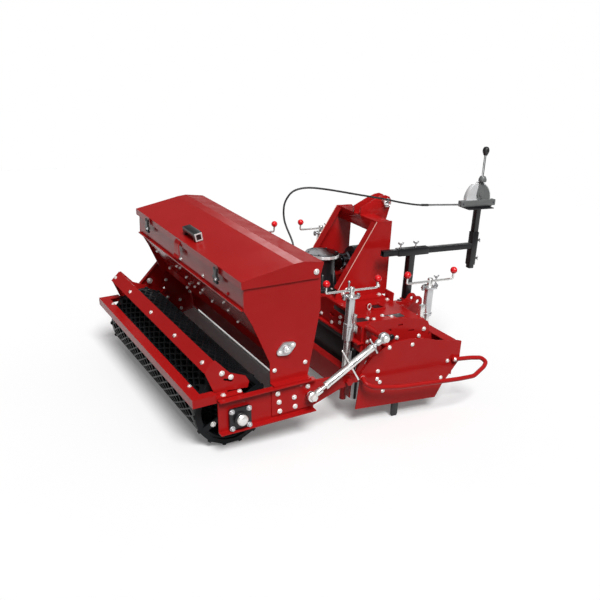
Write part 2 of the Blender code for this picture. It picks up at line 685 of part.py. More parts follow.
def scraper(parent):
    """Tilted bar over the roller on an upright plate at each end."""
    bar = prism(strip([(-0.556, 0.385), (-0.508, 0.430)], 0.008), -0.662, 0.662, "X")
    parts = [bar]
    for sign in (1, -1):
        outline = [(-0.518, 0.2865), (-0.358, 0.2725), (-0.350, 0.300), (-0.366, 0.330), (-0.440, 0.362),
                   (-0.5045, 0.4350),
                   (-0.5575, 0.3895)]
        parts.append(prism(outline, *span(sign, 0.6570, 0.6635), "X",
                           [slot(-0.45, 0.33, 0.018, 0.0055, -20)]))
    return solid("scraper", "red", parts, (), parent)


# Roller

def roller_cage(parent):
    """Drum of diamond mesh: holes in staggered rings, the bars between them and a plain hoop at each end."""
    outer = CAGE_RADIUS
    inner = CAGE_RADIUS - CAGE_WALL
    hoop = 0.012
    pitch = 2 * math.pi / HOLES_ROUND
    column = (2 * (CAGE_HALF - hoop) - 0.006) / (HOLES_ALONG + 1)
    half_x = column - 0.0060
    half_t = pitch / 2 - 0.0062 / outer
    bm = bmesh.new()
    origin = Vector((0, ROLLER_Y, ROLLER_Z))

    def vertex(x, angle, radius):
        return bm.verts.new(origin + Vector((x, radius * math.cos(angle), radius * math.sin(angle))))

    shells = []
    for radius in (outer, inner):
        holes = {}
        for j in range(HOLES_ALONG):
            x = (j - (HOLES_ALONG - 1) / 2) * column
            for i in range(HOLES_ROUND):
                t = (i + 0.5 * (j % 2)) * pitch
                holes[i, j] = {
                    "west": vertex(x - half_x, t, radius), "east": vertex(x + half_x, t, radius),
                    "down": vertex(x, t - half_t, radius), "up": vertex(x, t + half_t, radius)}
        rings = {}
        for side in (-1, 1):
            j = 0 if side < 0 else HOLES_ALONG - 1
            ring = []
            for i in range(HOLES_ROUND):
                t = (i + 0.5 * (j % 2)) * pitch
                ring.append((vertex(side * CAGE_HALF, t, radius),
                             vertex(side * CAGE_HALF, t + pitch / 2, radius)))
            rings[side] = ring
        shells.append((holes, rings))
    for holes, rings in shells:
        for j in range(HOLES_ALONG):
            for i in range(HOLES_ROUND):
                above = (i + 1) % HOLES_ROUND
                here = holes[i, j]
                over = holes[above, j]
                if 0 < j < HOLES_ALONG - 1:
                    shift = i if j % 2 else i - 1
                    west = holes[(shift + 1) % HOLES_ROUND, j - 1]
                    east = holes[(shift + 1) % HOLES_ROUND, j + 1]
                    bm.faces.new((here["up"], west["east"], over["down"], east["west"]))
                if j + 1 < HOLES_ALONG:
                    shift = i if j % 2 else i - 1
                    high = holes[(shift + 1) % HOLES_ROUND, j + 1]
                    low = holes[shift % HOLES_ROUND, j + 1]
                    bm.faces.new((here["up"], here["east"], high["down"], high["west"]))
                    bm.faces.new((here["east"], here["down"], low["west"], low["up"]))
        for side, far, near, j in ((-1, "west", "east", 0), (1, "east", "west", HOLES_ALONG - 1)):
            shift = 1 if j % 2 else 0
            step = 1 if side < 0 else -1
            for i in range(HOLES_ROUND):
                before = (i - 1) % HOLES_ROUND
                above = (i + 1) % HOLES_ROUND
                tip, gap = rings[side][i]
                below = rings[side][before][1]
                here = holes[i, j]
                over = holes[above, j]
                inward = holes[(i + shift) % HOLES_ROUND, j + step]
                bm.faces.new((here["down"], below, tip, here[far]))
                bm.faces.new((here[far], tip, gap, here["up"]))
                bm.faces.new((here["up"], gap, over["down"]))
                bm.faces.new((here["up"], over["down"], inward[far]))
    (outside, out_rings), (inside, in_rings) = shells
    for key in outside:
        a = outside[key]
        b = inside[key]
        for first, second in (("west", "down"), ("down", "east"), ("east", "up"), ("up", "west")):
            bm.faces.new((a[first], a[second], b[second], b[first]))
    for side in (-1, 1):
        loop_out = [v for pair in out_rings[side] for v in pair]
        loop_in = [v for pair in in_rings[side] for v in pair]
        count = len(loop_out)
        for i in range(count):
            k = (i + 1) % count
            bm.faces.new((loop_out[i], loop_out[k], loop_in[k], loop_in[i]))
    bmesh.ops.recalc_face_normals(bm, faces=bm.faces)
    return solid("roller_cage", "black", [bm], (), parent, origin=tuple(origin))


def roller_end(sign, ending, parent):
    """Cleated end wheel with four arms and its stub axle."""
    rim = []
    cleats = 14
    for i in range(cleats):
        t = 2 * math.pi * i / cleats
        for offset, radius in ((-0.055, 0.1735), (-0.040, ROLLER_RADIUS), (0.040, ROLLER_RADIUS),
                               (0.055, 0.1735)):
            rim.append((ROLLER_Y + radius * math.cos(t + offset), ROLLER_Z + radius * math.sin(t + offset)))
    holes = []
    half = 0.013
    for k in range(4):
        turn = math.radians(90 * k + 30)
        inner_t = math.degrees(math.asin(half / 0.052))
        outer_t = math.degrees(math.asin(half / 0.152))
        shape = arc(0, 0, 0.152, outer_t, 90 - outer_t, 4) + arc(0, 0, 0.052, 90 - inner_t, inner_t, 1)
        c = math.cos(turn)
        s = math.sin(turn)
        holes.append([(ROLLER_Y + a * c - b * s, ROLLER_Z + a * s + b * c) for a, b in shape])
    wheel = prism(rim, *span(sign, 0.6085, 0.6165), "X", holes)
    profile = [(0.030, 0.5900), (0.030, 0.6300), (0.0172, 0.6320), (0.0172, 0.7480), (0.0150, 0.7500)]
    if sign < 0:
        profile[3:] = [(0.0172, 0.7460), (0.0420, 0.7470), (0.0420, 0.7520), (0.0172, 0.7530),
                       (0.0172, 0.7600)]
    axle = lathe(profile, (0, ROLLER_Y, ROLLER_Z), (sign, 0, 0), 14)
    return solid("roller_end_" + ending, "black", [wheel, axle], (), parent,
                 origin=(sign * 0.6125, ROLLER_Y, ROLLER_Z), smooth=30)


def roller_bearing(sign, ending, parent):
    """Square four-bolt flange bearing on the rail's outer face."""
    half = 0.052
    corner = 0.010
    flat = half - corner
    outline = []
    for a, b, start in ((flat, -flat, -90), (flat, flat, 0), (-flat, flat, 90), (-flat, -flat, 180)):
        outline += arc(ROLLER_Y + a, ROLLER_Z + b, corner, start, start + 90, 2)
    plate = prism(outline, *span(sign, 0.7050, 0.7170), "X")
    boss = rod((sign * 0.710, ROLLER_Y, ROLLER_Z), (sign * 0.7330, ROLLER_Y, ROLLER_Z), 0.0340, 14)
    back = rod((sign * 0.6984, ROLLER_Y, ROLLER_Z), (sign * 0.708, ROLLER_Y, ROLLER_Z), 0.0460, 14)
    cut = rod((sign * 0.69, ROLLER_Y, ROLLER_Z), (sign * 0.76, ROLLER_Y, ROLLER_Z), 0.0177, 14)
    return solid("roller_bearing_" + ending, "black", [plate, boss, back], [cut], parent, smooth=35)


# Hopper

def hopper_trough(parent):
    """Folded seed box, open at the top, with the metering channel along its bottom and an apron below."""
    section = [(-0.3720, 0.744), (-0.3720, 0.640), (-0.2380, 0.430), (-0.2380, 0.392), (-0.1120, 0.392),
               (-0.1120, 0.430), (-0.0060, 0.600), (-0.0060, 0.744)]
    limit = HOPPER_SIDE_X - 0.0005
    shell = prism(strip(section, 0.003), -limit, limit, "X")
    apron = prism(strip([(-0.1350, 0.4000), (-0.1080, 0.3700), (-0.0820, 0.150), (-0.0660, 0.140)], 0.003),
                  -limit, limit, "X")
    lip = box((-limit, -0.3840, 0.6370), (limit, -0.3700, 0.6430))
    shelf = box((0.268, -0.0075, 0.606), (0.312, 0.0560, 0.612))
    gland = lathe([(0.0090, 0.604), (0.0090, 0.617), (0.0065, 0.619), (0.0065, 0.633)], (CABLE_X, 0.035, 0),
                  (0, 0, 1), 8)
    cuts = []
    for k in range(8):
        x = -0.56 + 0.16 * k
        cuts.append(box((x - 0.020, -0.200, 0.385), (x + 0.020, -0.152, 0.400)))
    return solid("hopper_trough", "red", [shell, apron, lip, shelf, gland], cuts, parent)


def hopper_side(sign, ending, parent):
    outline = [(-0.3700, 0.7420), (-0.3740, 0.6400), (-0.3620, 0.6200), (-0.3330, 0.563), (-0.2550, 0.373),
               (-0.2530, 0.2645), (-0.0650, 0.2645), (-0.0600, 0.285), (0.0020, 0.585), (0.0020, 0.7420)]
    plate = prism(outline, *span(sign, HOPPER_SIDE_X, HOPPER_SIDE_X + 0.0045), "X",
                  [circle(FEED_Y, FEED_Z, 0.0150, 10)])
    foot = box((min(sign * HOPPER_SIDE_X, sign * 0.7150), -0.2525, 0.2645),
               (max(sign * HOPPER_SIDE_X, sign * 0.7150), -0.0655, 0.2705))
    pin = rod((sign * 0.6740, *LID_PIVOT), (sign * 0.6925, *LID_PIVOT), 0.0060, 10)
    ear = prism([(-0.0450, 0.735), (0.0000, 0.735), (0.0000, 0.752)] + arc(*LID_PIVOT, 0.0160, 20, 160, 5)
                + [(-0.0450, 0.752)],
                *span(sign, HOPPER_SIDE_X, HOPPER_SIDE_X + 0.0045), "X")
    return solid("hopper_side_" + ending, "red", [plate, foot, ear, pin], (), parent)


def lid(parent):
    top = [(-0.3840, 0.740), (-0.3840, 0.772), (-0.1350, 0.8130), (-0.0900, 0.8160), (0.0120, 0.7990),
           (0.0120, 0.7860)]
    shell = prism(strip(top, -0.003), -0.6850, 0.6850, "X")
    end = [(-0.3825, 0.738), (-0.3825, 0.7712), (-0.1348, 0.8118), (-0.0902, 0.8145), (0.0105, 0.7978),
           (0.0105, 0.7865),
           (-0.0040, 0.735), (-0.010, 0.728)]
    parts = [shell]
    cuts = []
    for sign in (1, -1):
        parts.append(prism(end, *span(sign, 0.6800, 0.6845), "X"))
        cuts.append(rod((sign * 0.66, *LID_PIVOT), (sign * 0.70, *LID_PIVOT), 0.0065, 10))
    parts.append(prism(strip([(-0.4010, 0.676), (-0.3900, 0.690), (-0.3900, 0.745), (-0.380, 0.7630)],
                             0.004), -0.075, -0.015, "X"))
    return solid("hopper_lid", "red", parts, cuts, parent, origin=(0, *LID_PIVOT))


def lid_handle(parent):
    """Bridge handle along the lid, standing on its sloping rear face."""
    slope = math.atan2(0.8130 - 0.772, 0.3840 - 0.1350)
    profile = [(-0.080, 0.0008), (-0.080, 0.036), (-0.072, 0.045), (0.072, 0.045), (0.080, 0.036),
               (0.080, 0.0008),
               (0.056, 0.0008), (0.046, 0.022), (-0.046, 0.022), (-0.056, 0.0008)]
    bar = prism(profile, -0.020, 0.020, "Y")
    height = 0.772 + (0.3840 - 0.325) * math.tan(slope)
    bmesh.ops.rotate(bar, cent=(0, 0, 0), matrix=Matrix.Rotation(slope, 3, "X"), verts=bar.verts)
    bmesh.ops.translate(bar, vec=(0.012, -0.325, height), verts=bar.verts)
    return solid("lid_handle", "black", [bar], (), parent)


def latch(x, ending, parent):
    """Draw latch that swings down from the lid's skirt."""
    foot = (-0.3990, 0.700)
    body = prism([(x - 0.010, 0.700), (x - 0.024, 0.716), (x - 0.010, 0.728), (x - 0.014, 0.768),
                  (x, 0.760), (x + 0.014, 0.768),
                  (x + 0.010, 0.728), (x + 0.024, 0.716), (x + 0.010, 0.700)], -0.4000, -0.3900, "Y")
    bar = rod((x - 0.018, foot[0] + 0.004, foot[1]), (x + 0.018, foot[0] + 0.004, foot[1]), 0.0070, 10)
    return solid("lid_latch_" + ending, "black", [body, bar], (), parent,
                 origin=(x, foot[0] + 0.004, foot[1]))


def guide_plate(parent):
    """Galvanised chute behind the seed outlets, down in front of the roller."""
    limit = HOPPER_SIDE_X - 0.0007
    sheet = prism(strip([(-0.1860, 0.100), (-0.1620, 0.112), (-0.0880, 0.1330), (-0.0864, 0.1450)], 0.0025),
                  -limit, limit, "X")
    return solid("guide_plate", "galvanised", [sheet], (), parent)


def feed_shaft(parent):
    """Metering shaft with eight seed wheels over the outlets and its drive wheel at the left end."""
    profile = [(0.0110, -0.7600), (0.0110, -0.7530), (0.0320, -0.7520), (0.0320, -0.7470),
               (0.0110, -0.7460)]
    for k in range(8):
        x = -0.56 + 0.16 * k
        profile += [(0.0110, x - 0.024), (0.0270, x - 0.020), (0.0270, x + 0.020), (0.0110, x + 0.024)]
    profile.append((0.0110, 0.7080))
    shaft = lathe(profile, (0, FEED_Y, FEED_Z), (1, 0, 0), 8)
    return solid("feed_shaft", "zinc", [shaft], (), parent, origin=(0, FEED_Y, FEED_Z), smooth=30)


def feed_bearing(parent):
    """Oval two-bolt flange bearing on the right-hand side panel."""
    x0 = HOPPER_SIDE_X + 0.0049
    tilt = math.radians(20)
    outline = []
    ends = arc(0.034, 0, 0.015, -60, 60, 4)
    middle = arc(0, 0, 0.031, 62, 118, 4)
    for u, v in ends + middle + [(-u, -v) for u, v in ends + middle]:
        outline.append((FEED_Y + u * math.cos(tilt) - v * math.sin(tilt),
                        FEED_Z + u * math.sin(tilt) + v * math.cos(tilt)))
    plate = prism(outline, x0, x0 + 0.011, "X")
    boss = rod((x0 + 0.006, FEED_Y, FEED_Z), (x0 + 0.022, FEED_Y, FEED_Z), 0.0215, 14)
    cut = rod((x0 - 0.01, FEED_Y, FEED_Z), (x0 + 0.05, FEED_Y, FEED_Z), 0.0116, 10)
    return solid("feed_bearing", "zinc", [plate, boss], [cut], parent, smooth=35)


# Turnbuckle between seeder and harrow

def level_point(point):
    """A seeder point (y, z) in the level frame."""
    y, z = point
    c = math.cos(SEEDER_TILT)
    s = math.sin(SEEDER_TILT)
    return (y * c - z * s, y * s + z * c + SEEDER_LIFT)


def turnbuckle(parent):
    low = Vector((LINK_X, *level_point(CLEVIS)))
    high = Vector((LINK_X, *LINK_TOP))
    along = (low - high).normalized()
    length = (low - high).length
    cross = Vector((0, -along.z, along.y))

    def eye(centre, bore):
        start = centre - Vector((0.011, 0, 0))
        return pipe(start, centre + Vector((0.011, 0, 0)), 0.0200, bore, 12)

    def lever(at, reach, radius):
        middle = high + along * at
        return rod(middle - cross * reach, middle + cross * reach, radius, 8)

    upper = lathe([(0.0095, 0.0185), (0.0095, 0.135)], high, along, 10)
    neck = lathe([(0.0125, 0.0170), (0.0150, 0.030), (0.0150, 0.040), (0.0125, 0.048)], high, along, 10)
    nut = lathe([(0.0150, 0.058), (0.0150, 0.068)], high, along, 6)
    solid("link_upper", "zinc", [eye(high, 0.0102), neck, upper, nut, lever(0.063, 0.042, 0.0045)], (),
          parent,
          origin=tuple(high), smooth=40)
    barrel = lathe([(0.0108, 0.0700), (0.0160, 0.0700), (0.0165, 0.074), (0.0165, 0.336), (0.0160, 0.340),
                    (0.0108, 0.340)],
                   high, along, 12, ring=True)
    handles = [rod(high + along * 0.205 + cross * (s * 0.014), high + along * 0.205 + cross * (s * 0.095),
                   0.0045, 8) for s in (1, -1)]
    solid("link_barrel", "zinc", [barrel] + handles, (), parent, origin=tuple(high + along * 0.205),
          smooth=40)
    lower = lathe([(0.0095, 0.185), (0.0095, length - 0.018)], high, along, 10)
    fork = lathe([(0.0125, length - 0.056), (0.0155, length - 0.048), (0.0155, length - 0.030),
                  (0.0125, length - 0.017)], high, along, 10)
    solid("link_lower", "zinc", [eye(low, 0.0105), fork, lower], (), parent, origin=tuple(low), smooth=40)


# Control cable

CABLE_ROUTE = [
    (0.2810, 0.8096, 0.9670), (0.2810, 0.7700, 0.9690), (0.2810, 0.7200, 0.9740), (0.2780, 0.6260, 0.9900),
    (0.2700, 0.5400, 1.0080),
    (0.2500, 0.3920, 1.0330), (0.2200, 0.2155, 1.0615), (0.1950, 0.1250, 1.0670), (0.1750, 0.0655, 1.0503),
    (0.1620, 0.0360, 1.0115),
    (0.1580, 0.0240, 0.9630), (0.1720, 0.0270, 0.8950), (0.2350, 0.0450, 0.8000), (0.2720, 0.0150, 0.7570),
    (0.2890, -0.0120, 0.7130),
    (0.2900, -0.0130, 0.6856)]


def smooth_route(route, step):
    """Points on a smooth curve through the route, evenly spaced."""
    pts = [Vector(p) for p in route]
    pts = [pts[0] * 2 - pts[1]] + pts + [pts[-1] * 2 - pts[-2]]
    fine = []
    for a, b, c, d in zip(pts, pts[1:], pts[2:], pts[3:]):
        for i in range(24):
            t = i / 24
            fine.append(0.5 * (b * 2 + (c - a) * t + (a * 2 - b * 5 + c * 4 - d) * t * t
                               + (b * 3 - a - c * 3 + d) * t ** 3))
    fine.append(pts[-2])
    total = sum((q - p).length for p, q in zip(fine, fine[1:]))
    count = round(total / step)
    want = total / count
    result = [fine[0]]
    walked = 0.0
    for p, q in zip(fine, fine[1:]):
        gap = (q - p).length
        while walked + gap >= want * len(result) and len(result) < count:
            result.append(p.lerp(q, (want * len(result) - walked) / gap))
        walked += gap
    result.append(fine[-1])
    return result


def cable(parent):
    points = smooth_route(CABLE_ROUTE, 0.022)
    curve = bpy.data.curves.new("control_cable", "CURVE")
    curve.dimensions = "3D"
    curve.bevel_depth = 0.0047
    curve.bevel_resolution = 2
    curve.use_fill_caps = True
    curve.resolution_u = 1
    curve.render_resolution_u = 0
    spline = curve.splines.new("POLY")
    spline.points.add(len(points) - 1)
    for target, point in zip(spline.points, points):
        target.co = (*point, 1.0)
    made = bpy.data.objects.new("control_cable", curve)
    bpy.context.scene.collection.objects.link(made)
    curve.materials.append(material("control_cable", "black"))
    made.parent = parent


def main():
    clear_scene()
    machine = bpy.data.objects.new("machine", None)
    machine.location = (0, -Y_CENTRE, 0)
    bpy.context.scene.collection.objects.link(machine)
    seeder = bpy.data.objects.new("seeder", None)
    seeder.location = (0, 0, SEEDER_LIFT)
    seeder.rotation_euler = (SEEDER_TILT, 0, 0)
    seeder.parent = machine
    bpy.context.scene.collection.objects.link(seeder)

    gear_trough(machine)
    tower_head(machine)
    top_pin(machine)
    gearbox(machine)
    input_shaft(machine)
    rotors(machine)
    rear_board(machine)
    front_board(machine)
    console(machine)
    lever_base(machine)
    control_lever(machine)
    turnbuckle(machine)
    cable(machine)
    for sign, ending in sides():
        side_bracket(sign, ending, machine)
        side_panel(sign, ending, machine)
        guard_hoop(sign, ending, machine)
        parking_leg(sign, ending, machine)
        tower_plate(sign, ending, machine)
        hitch_lugs(sign, ending, machine)
        for y, place in ((JACK_REAR_Y, "rear_"), (JACK_FRONT_Y, "front_")):
            jack_body(sign, y, place + ending, machine)
            jack_crank(sign, y, place + ending, machine)
        channel(sign, ending, seeder)
        roller_end(sign, ending, seeder)
        roller_bearing(sign, ending, seeder)
        hopper_side(sign, ending, seeder)
    rear_frame(seeder)
    scraper(seeder)
    roller_cage(seeder)
    hopper_trough(seeder)
    guide_plate(seeder)
    feed_shaft(seeder)
    feed_bearing(seeder)
    lid(seeder)
    lid_handle(seeder)
    latch(0.44, "right", seeder)
    latch(-0.47, "left", seeder)


main()
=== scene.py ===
"""Combination seed drill: power harrow, seed hopper and mesh roller, dressed over its frame."""
import json
import math

import bmesh
import bpy
from mathutils import Matrix, Vector
from mathutils.geometry import tessellate_polygon


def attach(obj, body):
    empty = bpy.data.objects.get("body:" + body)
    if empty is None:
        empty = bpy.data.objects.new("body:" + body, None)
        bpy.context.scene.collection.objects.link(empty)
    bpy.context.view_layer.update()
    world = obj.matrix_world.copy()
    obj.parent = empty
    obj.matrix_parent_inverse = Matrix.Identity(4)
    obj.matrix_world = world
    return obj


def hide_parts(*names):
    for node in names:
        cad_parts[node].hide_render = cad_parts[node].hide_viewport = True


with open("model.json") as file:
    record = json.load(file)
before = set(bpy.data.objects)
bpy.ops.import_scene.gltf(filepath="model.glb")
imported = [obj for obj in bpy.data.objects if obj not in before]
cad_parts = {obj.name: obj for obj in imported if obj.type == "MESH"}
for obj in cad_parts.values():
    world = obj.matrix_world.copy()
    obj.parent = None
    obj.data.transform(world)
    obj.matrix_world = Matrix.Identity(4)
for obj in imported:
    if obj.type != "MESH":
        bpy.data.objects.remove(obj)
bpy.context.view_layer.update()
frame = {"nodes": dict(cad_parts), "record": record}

BODY_OF = {node: body for body, nodes in frame["record"]["behaviour"]["bodies"].items() for node in nodes}

RIGHT = (1, 0, 0)
AHEAD = (0, 1, 0)
BACK = (0, -1, 0)
UP = (0, 0, 1)
SIDES = ((1, "right"), (-1, "left"))

# The harrow stands level; the seeder behind it is tipped up at its front.
SEEDER_TILT = 4.34
SEEDER_LIFT = 0.0514
LEVEL = Matrix.Translation((0, -0.304, 0))
TILTED = Matrix.Rotation(math.radians(SEEDER_TILT), 4, "X")
SEEDER = LEVEL @ Matrix.Translation((0, 0, SEEDER_LIFT)) @ TILTED

# Sizes shared by several pieces: level frame for the harrow, seeder frame for the seeder, pairs as (y, z)
TROUGH_TOP = 0.47
GEARBOX_Y = 0.358
PANEL_FACE = 0.686
BRACKET_FACE = 0.6135
HOOP_FACE = 0.701
RAIL_FACE = 0.7045
HOPPER_FACE = 0.6765
HOOP_FEET = ((0.205, 0.262), (0.76, 0.272))
TOP_PIN = (0.712, 0.928)
JACK_X = 0.544
JACKS = {"rear": 0.2045, "front": 0.667}
CRANK_ARM = 0.144
CRANK_Z = 0.6455
KNOB_RADIUS = 0.0178
CONSOLE_X = 0.281
LEVER_PIVOT = (1.145, 1.01)
QUADRANT_FOOT = 0.98
CABLE_WIDTH = 0.0094
ROLLER = (-0.42, 0.161)
FEED = (-0.176, 0.426)
LID_PIVOT = (-0.025, 0.76)
LINK_X = 0.745
LINK_TOP = (0.271, 0.472)
CLEVIS = (-0.077, 0.192)
PTO_Z = 0.61

# Facing of the bolts on the hopper's slanted wall and on the scraper
SLANT = (0, -0.84, -0.54)
BAR = (0, -0.68, 0.73)


def new_object(name, data):
    """An object in the scene for a mesh, a curve, a light or the camera."""
    made = bpy.data.objects.new(name, data)
    bpy.context.scene.collection.objects.link(made)
    return made


# Camera

def camera():
    data = bpy.data.cameras.new("studio_camera")
    made = new_object("studio_camera", data)
    ahead = Vector((-0.8140326, 0.48379383, -0.32139454))
    right = Vector((0.49010728, 0.86909184, 0.06688965))
    up = Vector((-0.31168217, 0.10306745, 0.94457997))
    turn = Matrix((right, up, -ahead)).transposed().to_4x4()
    made.matrix_world = Matrix.Translation((3.61929, -2.15485, 1.85195)) @ turn
    data.sensor_width = 36
    data.lens = 49.43
    data.shift_x = -0.01626
    data.shift_y = -0.00503
    data.clip_end = 60
    bpy.context.scene.camera = made


camera()
bpy.context.scene.view_settings.view_transform = "Standard"


# Outlines

def turns(count, start=0.0):
    """Angles evenly spaced around a circle."""
    return [start + 2 * math.pi * i / count for i in range(count)]


def arc(a, b, radius, start, end, count):
    angles = [math.radians(start + (end - start) * i / count) for i in range(count + 1)]
    return [(a + radius * math.cos(t), b + radius * math.sin(t)) for t in angles]


# Solids as bmeshes

def prism(outline, low, high, axis="X", holes=()):
    def place(a, b, c):
        return {"X": (c, a, b), "Y": (a, c, b), "Z": (a, b, c)}[axis]

    loops = [list(outline)] + [list(h) for h in holes]
    flat = [p for loop in loops for p in loop]
    bm = bmesh.new()
    lower = [bm.verts.new(place(a, b, low)) for a, b in flat]
    upper = [bm.verts.new(place(a, b, high)) for a, b in flat]
    if holes:
        for t in tessellate_polygon([[Vector((a, b, 0.0)) for a, b in loop] for loop in loops]):
            bm.faces.new([lower[i] for i in t])
            bm.faces.new([upper[i] for i in reversed(t)])
    else:
        bm.faces.new(lower)
        bm.faces.new(list(reversed(upper)))
    start = 0
    for loop in loops:
        count = len(loop)
        for i in range(count):
            j = (i + 1) % count
            bm.faces.new((lower[start + i], lower[start + j], upper[start + j], upper[start + i]))
        start += count
    bmesh.ops.recalc_face_normals(bm, faces=bm.faces)
    return bm


def box(low, high):
    outline = [(low[0], low[1]), (high[0], low[1]), (high[0], high[1]), (low[0], high[1])]
    return prism(outline, low[2], high[2], "Z")


def lathe(profile, base, direction, count=40, ring=False):
    """Turn (radius, height) points about the line from base along direction."""
    aim = Vector(direction).to_track_quat("Z", "Y").to_matrix()
    base = Vector(base)
    bm = bmesh.new()
    rows = []
    for radius, height in profile:
        if radius < 1e-9:
            rows.append([bm.verts.new(base + aim @ Vector((0, 0, height)))])
            continue
        row = []
        for t in turns(count):
            point = Vector((radius * math.cos(t), radius * math.sin(t), height))
            row.append(bm.verts.new(base + aim @ point))
        rows.append(row)
    pairs = list(zip(rows, rows[1:]))
    if ring:
        pairs.append((rows[-1], rows[0]))
    for first, second in pairs:
        for i in range(count):
            j = (i + 1) % count
            if len(first) == 1:
                bm.faces.new((first[0], second[i], second[j]))
            elif len(second) == 1:
                bm.faces.new((first[i], first[j], second[0]))
            else:
                bm.faces.new((first[i], first[j], second[j], second[i]))
    if not ring:
        for row in (rows[0], rows[-1]):
            if len(row) > 1:
                bm.faces.new(row)
    bmesh.ops.recalc_face_normals(bm, faces=bm.faces)
    return bm


def rod(start, end, radius, count=24, chamfer=0.0, bore=0.0):
    """Round bar between two points; with a bore it is a tube."""
    way = Vector(end) - Vector(start)
    length = way.length
    profile = [(radius, 0), (radius, length)]
    if chamfer:
        c = chamfer
        profile = [(radius - c, 0), (radius, c), (radius, length - c), (radius - c, length)]
    if bore:
        profile = [(bore, 0)] + profile + [(bore, length)]
    return lathe(profile, start, way, count, ring=bore > 0)


def pipe(start, end, radius, bore, count=32, chamfer=0.0006):
    return rod(start, end, radius, count, chamfer, bore)


def hexagon(start, end, radius):
    return rod(start, end, radius, 6, radius * 0.12)


def ball(centre, radius, count=32, rows=20):
    angles = [math.pi * i / rows for i in range(rows + 1)]
    profile = [(radius * math.sin(t), -radius * math.cos(t)) for t in angles]
    profile[0] = (0.0, -radius)
    profile[-1] = (0.0, radius)
    return lathe(profile, centre, UP, count)


def smooth_route(route, step):
    """Points on a smooth curve through the route, evenly spaced."""
    pts = [Vector(p) for p in route]
    pts = [pts[0] * 2 - pts[1]] + pts + [pts[-1] * 2 - pts[-2]]
    fine = []
    for a, b, c, d in zip(pts, pts[1:], pts[2:], pts[3:]):
        for i in range(24):
            t = i / 24
            fine.append(0.5 * (b * 2 + (c - a) * t + (a * 2 - b * 5 + c * 4 - d) * t * t
                               + (b * 3 - a - c * 3 + d) * t ** 3))
    fine.append(pts[-2])
    total = sum((q - p).length for p, q in zip(fine, fine[1:]))
    count = round(total / step)
    want = total / count
    result = [fine[0]]
    walked = 0.0
    for p, q in zip(fine, fine[1:]):
        gap = (q - p).length
        while walked + gap >= want * len(result) and len(result) < count:
            result.append(p.lerp(q, (want * len(result) - walked) / gap))
        walked += gap
    result.append(fine[-1])
    return result


def bent(route, radius, steps=6):
    """Round the corners of a route."""
    points = [Vector(route[0])]
    for before, here, after in zip(route, route[1:], route[2:]):
        before, here, after = Vector(before), Vector(here), Vector(after)
        back = before - here
        ahead = after - here
        reach = min(radius, back.length * 0.42, ahead.length * 0.42)
        start = here + back.normalized() * reach
        end = here + ahead.normalized() * reach
        for i in range(steps + 1):
            t = i / steps
            points.append(start * (1 - t) ** 2 + here * (2 * t * (1 - t)) + end * t ** 2)
    points.append(Vector(route[-1]))
    return points


def swept(points, radius, count=16, closed=False):
    """Round bar along the points, its sections carried along without twist."""
    bm = bmesh.new()
    rows = []
    side = None
    last = len(points) - 1
    for i, point in enumerate(points):
        if closed:
            ahead = (points[(i + 1) % len(points)] - points[i - 1]).normalized()
        else:
            ahead = (points[min(i + 1, last)] - points[max(i - 1, 0)]).normalized()
        if side is None:
            side = ahead.orthogonal().normalized()
        side = (side - ahead * side.dot(ahead)).normalized()
        other = ahead.cross(side)
        rows.append([bm.verts.new(point + (side * math.cos(t) + other * math.sin(t)) * radius)
                     for t in turns(count)])
    pairs = list(zip(rows, rows[1:]))
    if closed:
        pairs.append((rows[-1], rows[0]))
    for first, second in pairs:
        for i in range(count):
            j = (i + 1) % count
            bm.faces.new((first[i], first[j], second[j], second[i]))
    if not closed:
        bm.faces.new(rows[0])
        bm.faces.new(rows[-1])
    bmesh.ops.recalc_face_normals(bm, faces=bm.faces)
    return bm


def joined(parts):
    """Several bmeshes as one."""
    bm = bmesh.new()
    for part in parts:
        mesh = bpy.data.meshes.new("part")
        part.to_mesh(mesh)
        part.free()
        bm.from_mesh(mesh)
        bpy.data.meshes.remove(mesh)
    return bm


# Finishes

def finish_nodes(name, roughness, metallic=0.0, **sockets):
    made = bpy.data.materials.new(name)
    made.use_nodes = True
    tree = made.node_tree
    shader = tree.nodes["Principled BSDF"]
    shader.inputs["Roughness"].default_value = roughness
    shader.inputs["Metallic"].default_value = metallic
    for key, value in sockets.items():
        shader.inputs[key.replace("_", " ")].default_value = value
    place = tree.nodes.new("ShaderNodeTexCoord")
    return made, tree, shader, place.outputs["Object"]


def add_node(tree, kind, inputs=(), **settings):
    """A new node with its settings; each input gets a value or the output of another node."""
    node = tree.nodes.new(kind)
    for key, value in settings.items():
        setattr(node, key, value)
    for key, value in dict(inputs).items():
        if isinstance(value, bpy.types.NodeSocket):
            tree.links.new(value, node.inputs[key])
        else:
            node.inputs[key].default_value = value
    return node


def noise(tree, place, scale, detail=3.0):
    inputs = {"Scale": scale, "Detail": detail, "Roughness": 0.55, "Vector": place}
    return add_node(tree, "ShaderNodeTexNoise", inputs).outputs["Fac"]


def mapped(tree, value, low, high, start=0.3, end=0.7):
    inputs = {"From Min": start, "From Max": end, "To Min": low, "To Max": high, "Value": value}
    return add_node(tree, "ShaderNodeMapRange", inputs).outputs["Result"]


def two_tone(tree, shader, value, dark, light):
    node = add_node(tree, "ShaderNodeMix", {"A": (*dark, 1), "B": (*light, 1), "Factor": value},
                    data_type="RGBA")
    tree.links.new(node.outputs["Result"], shader.inputs["Base Color"])


def bumped(tree, shader, value, strength, distance):
    node = add_node(tree, "ShaderNodeBump", {"Strength": strength, "Distance": distance, "Height": value})
    tree.links.new(node.outputs["Normal"], shader.inputs["Normal"])
    if shader.inputs["Coat Weight"].default_value > 0:
        tree.links.new(node.outputs["Normal"], shader.inputs["Coat Normal"])


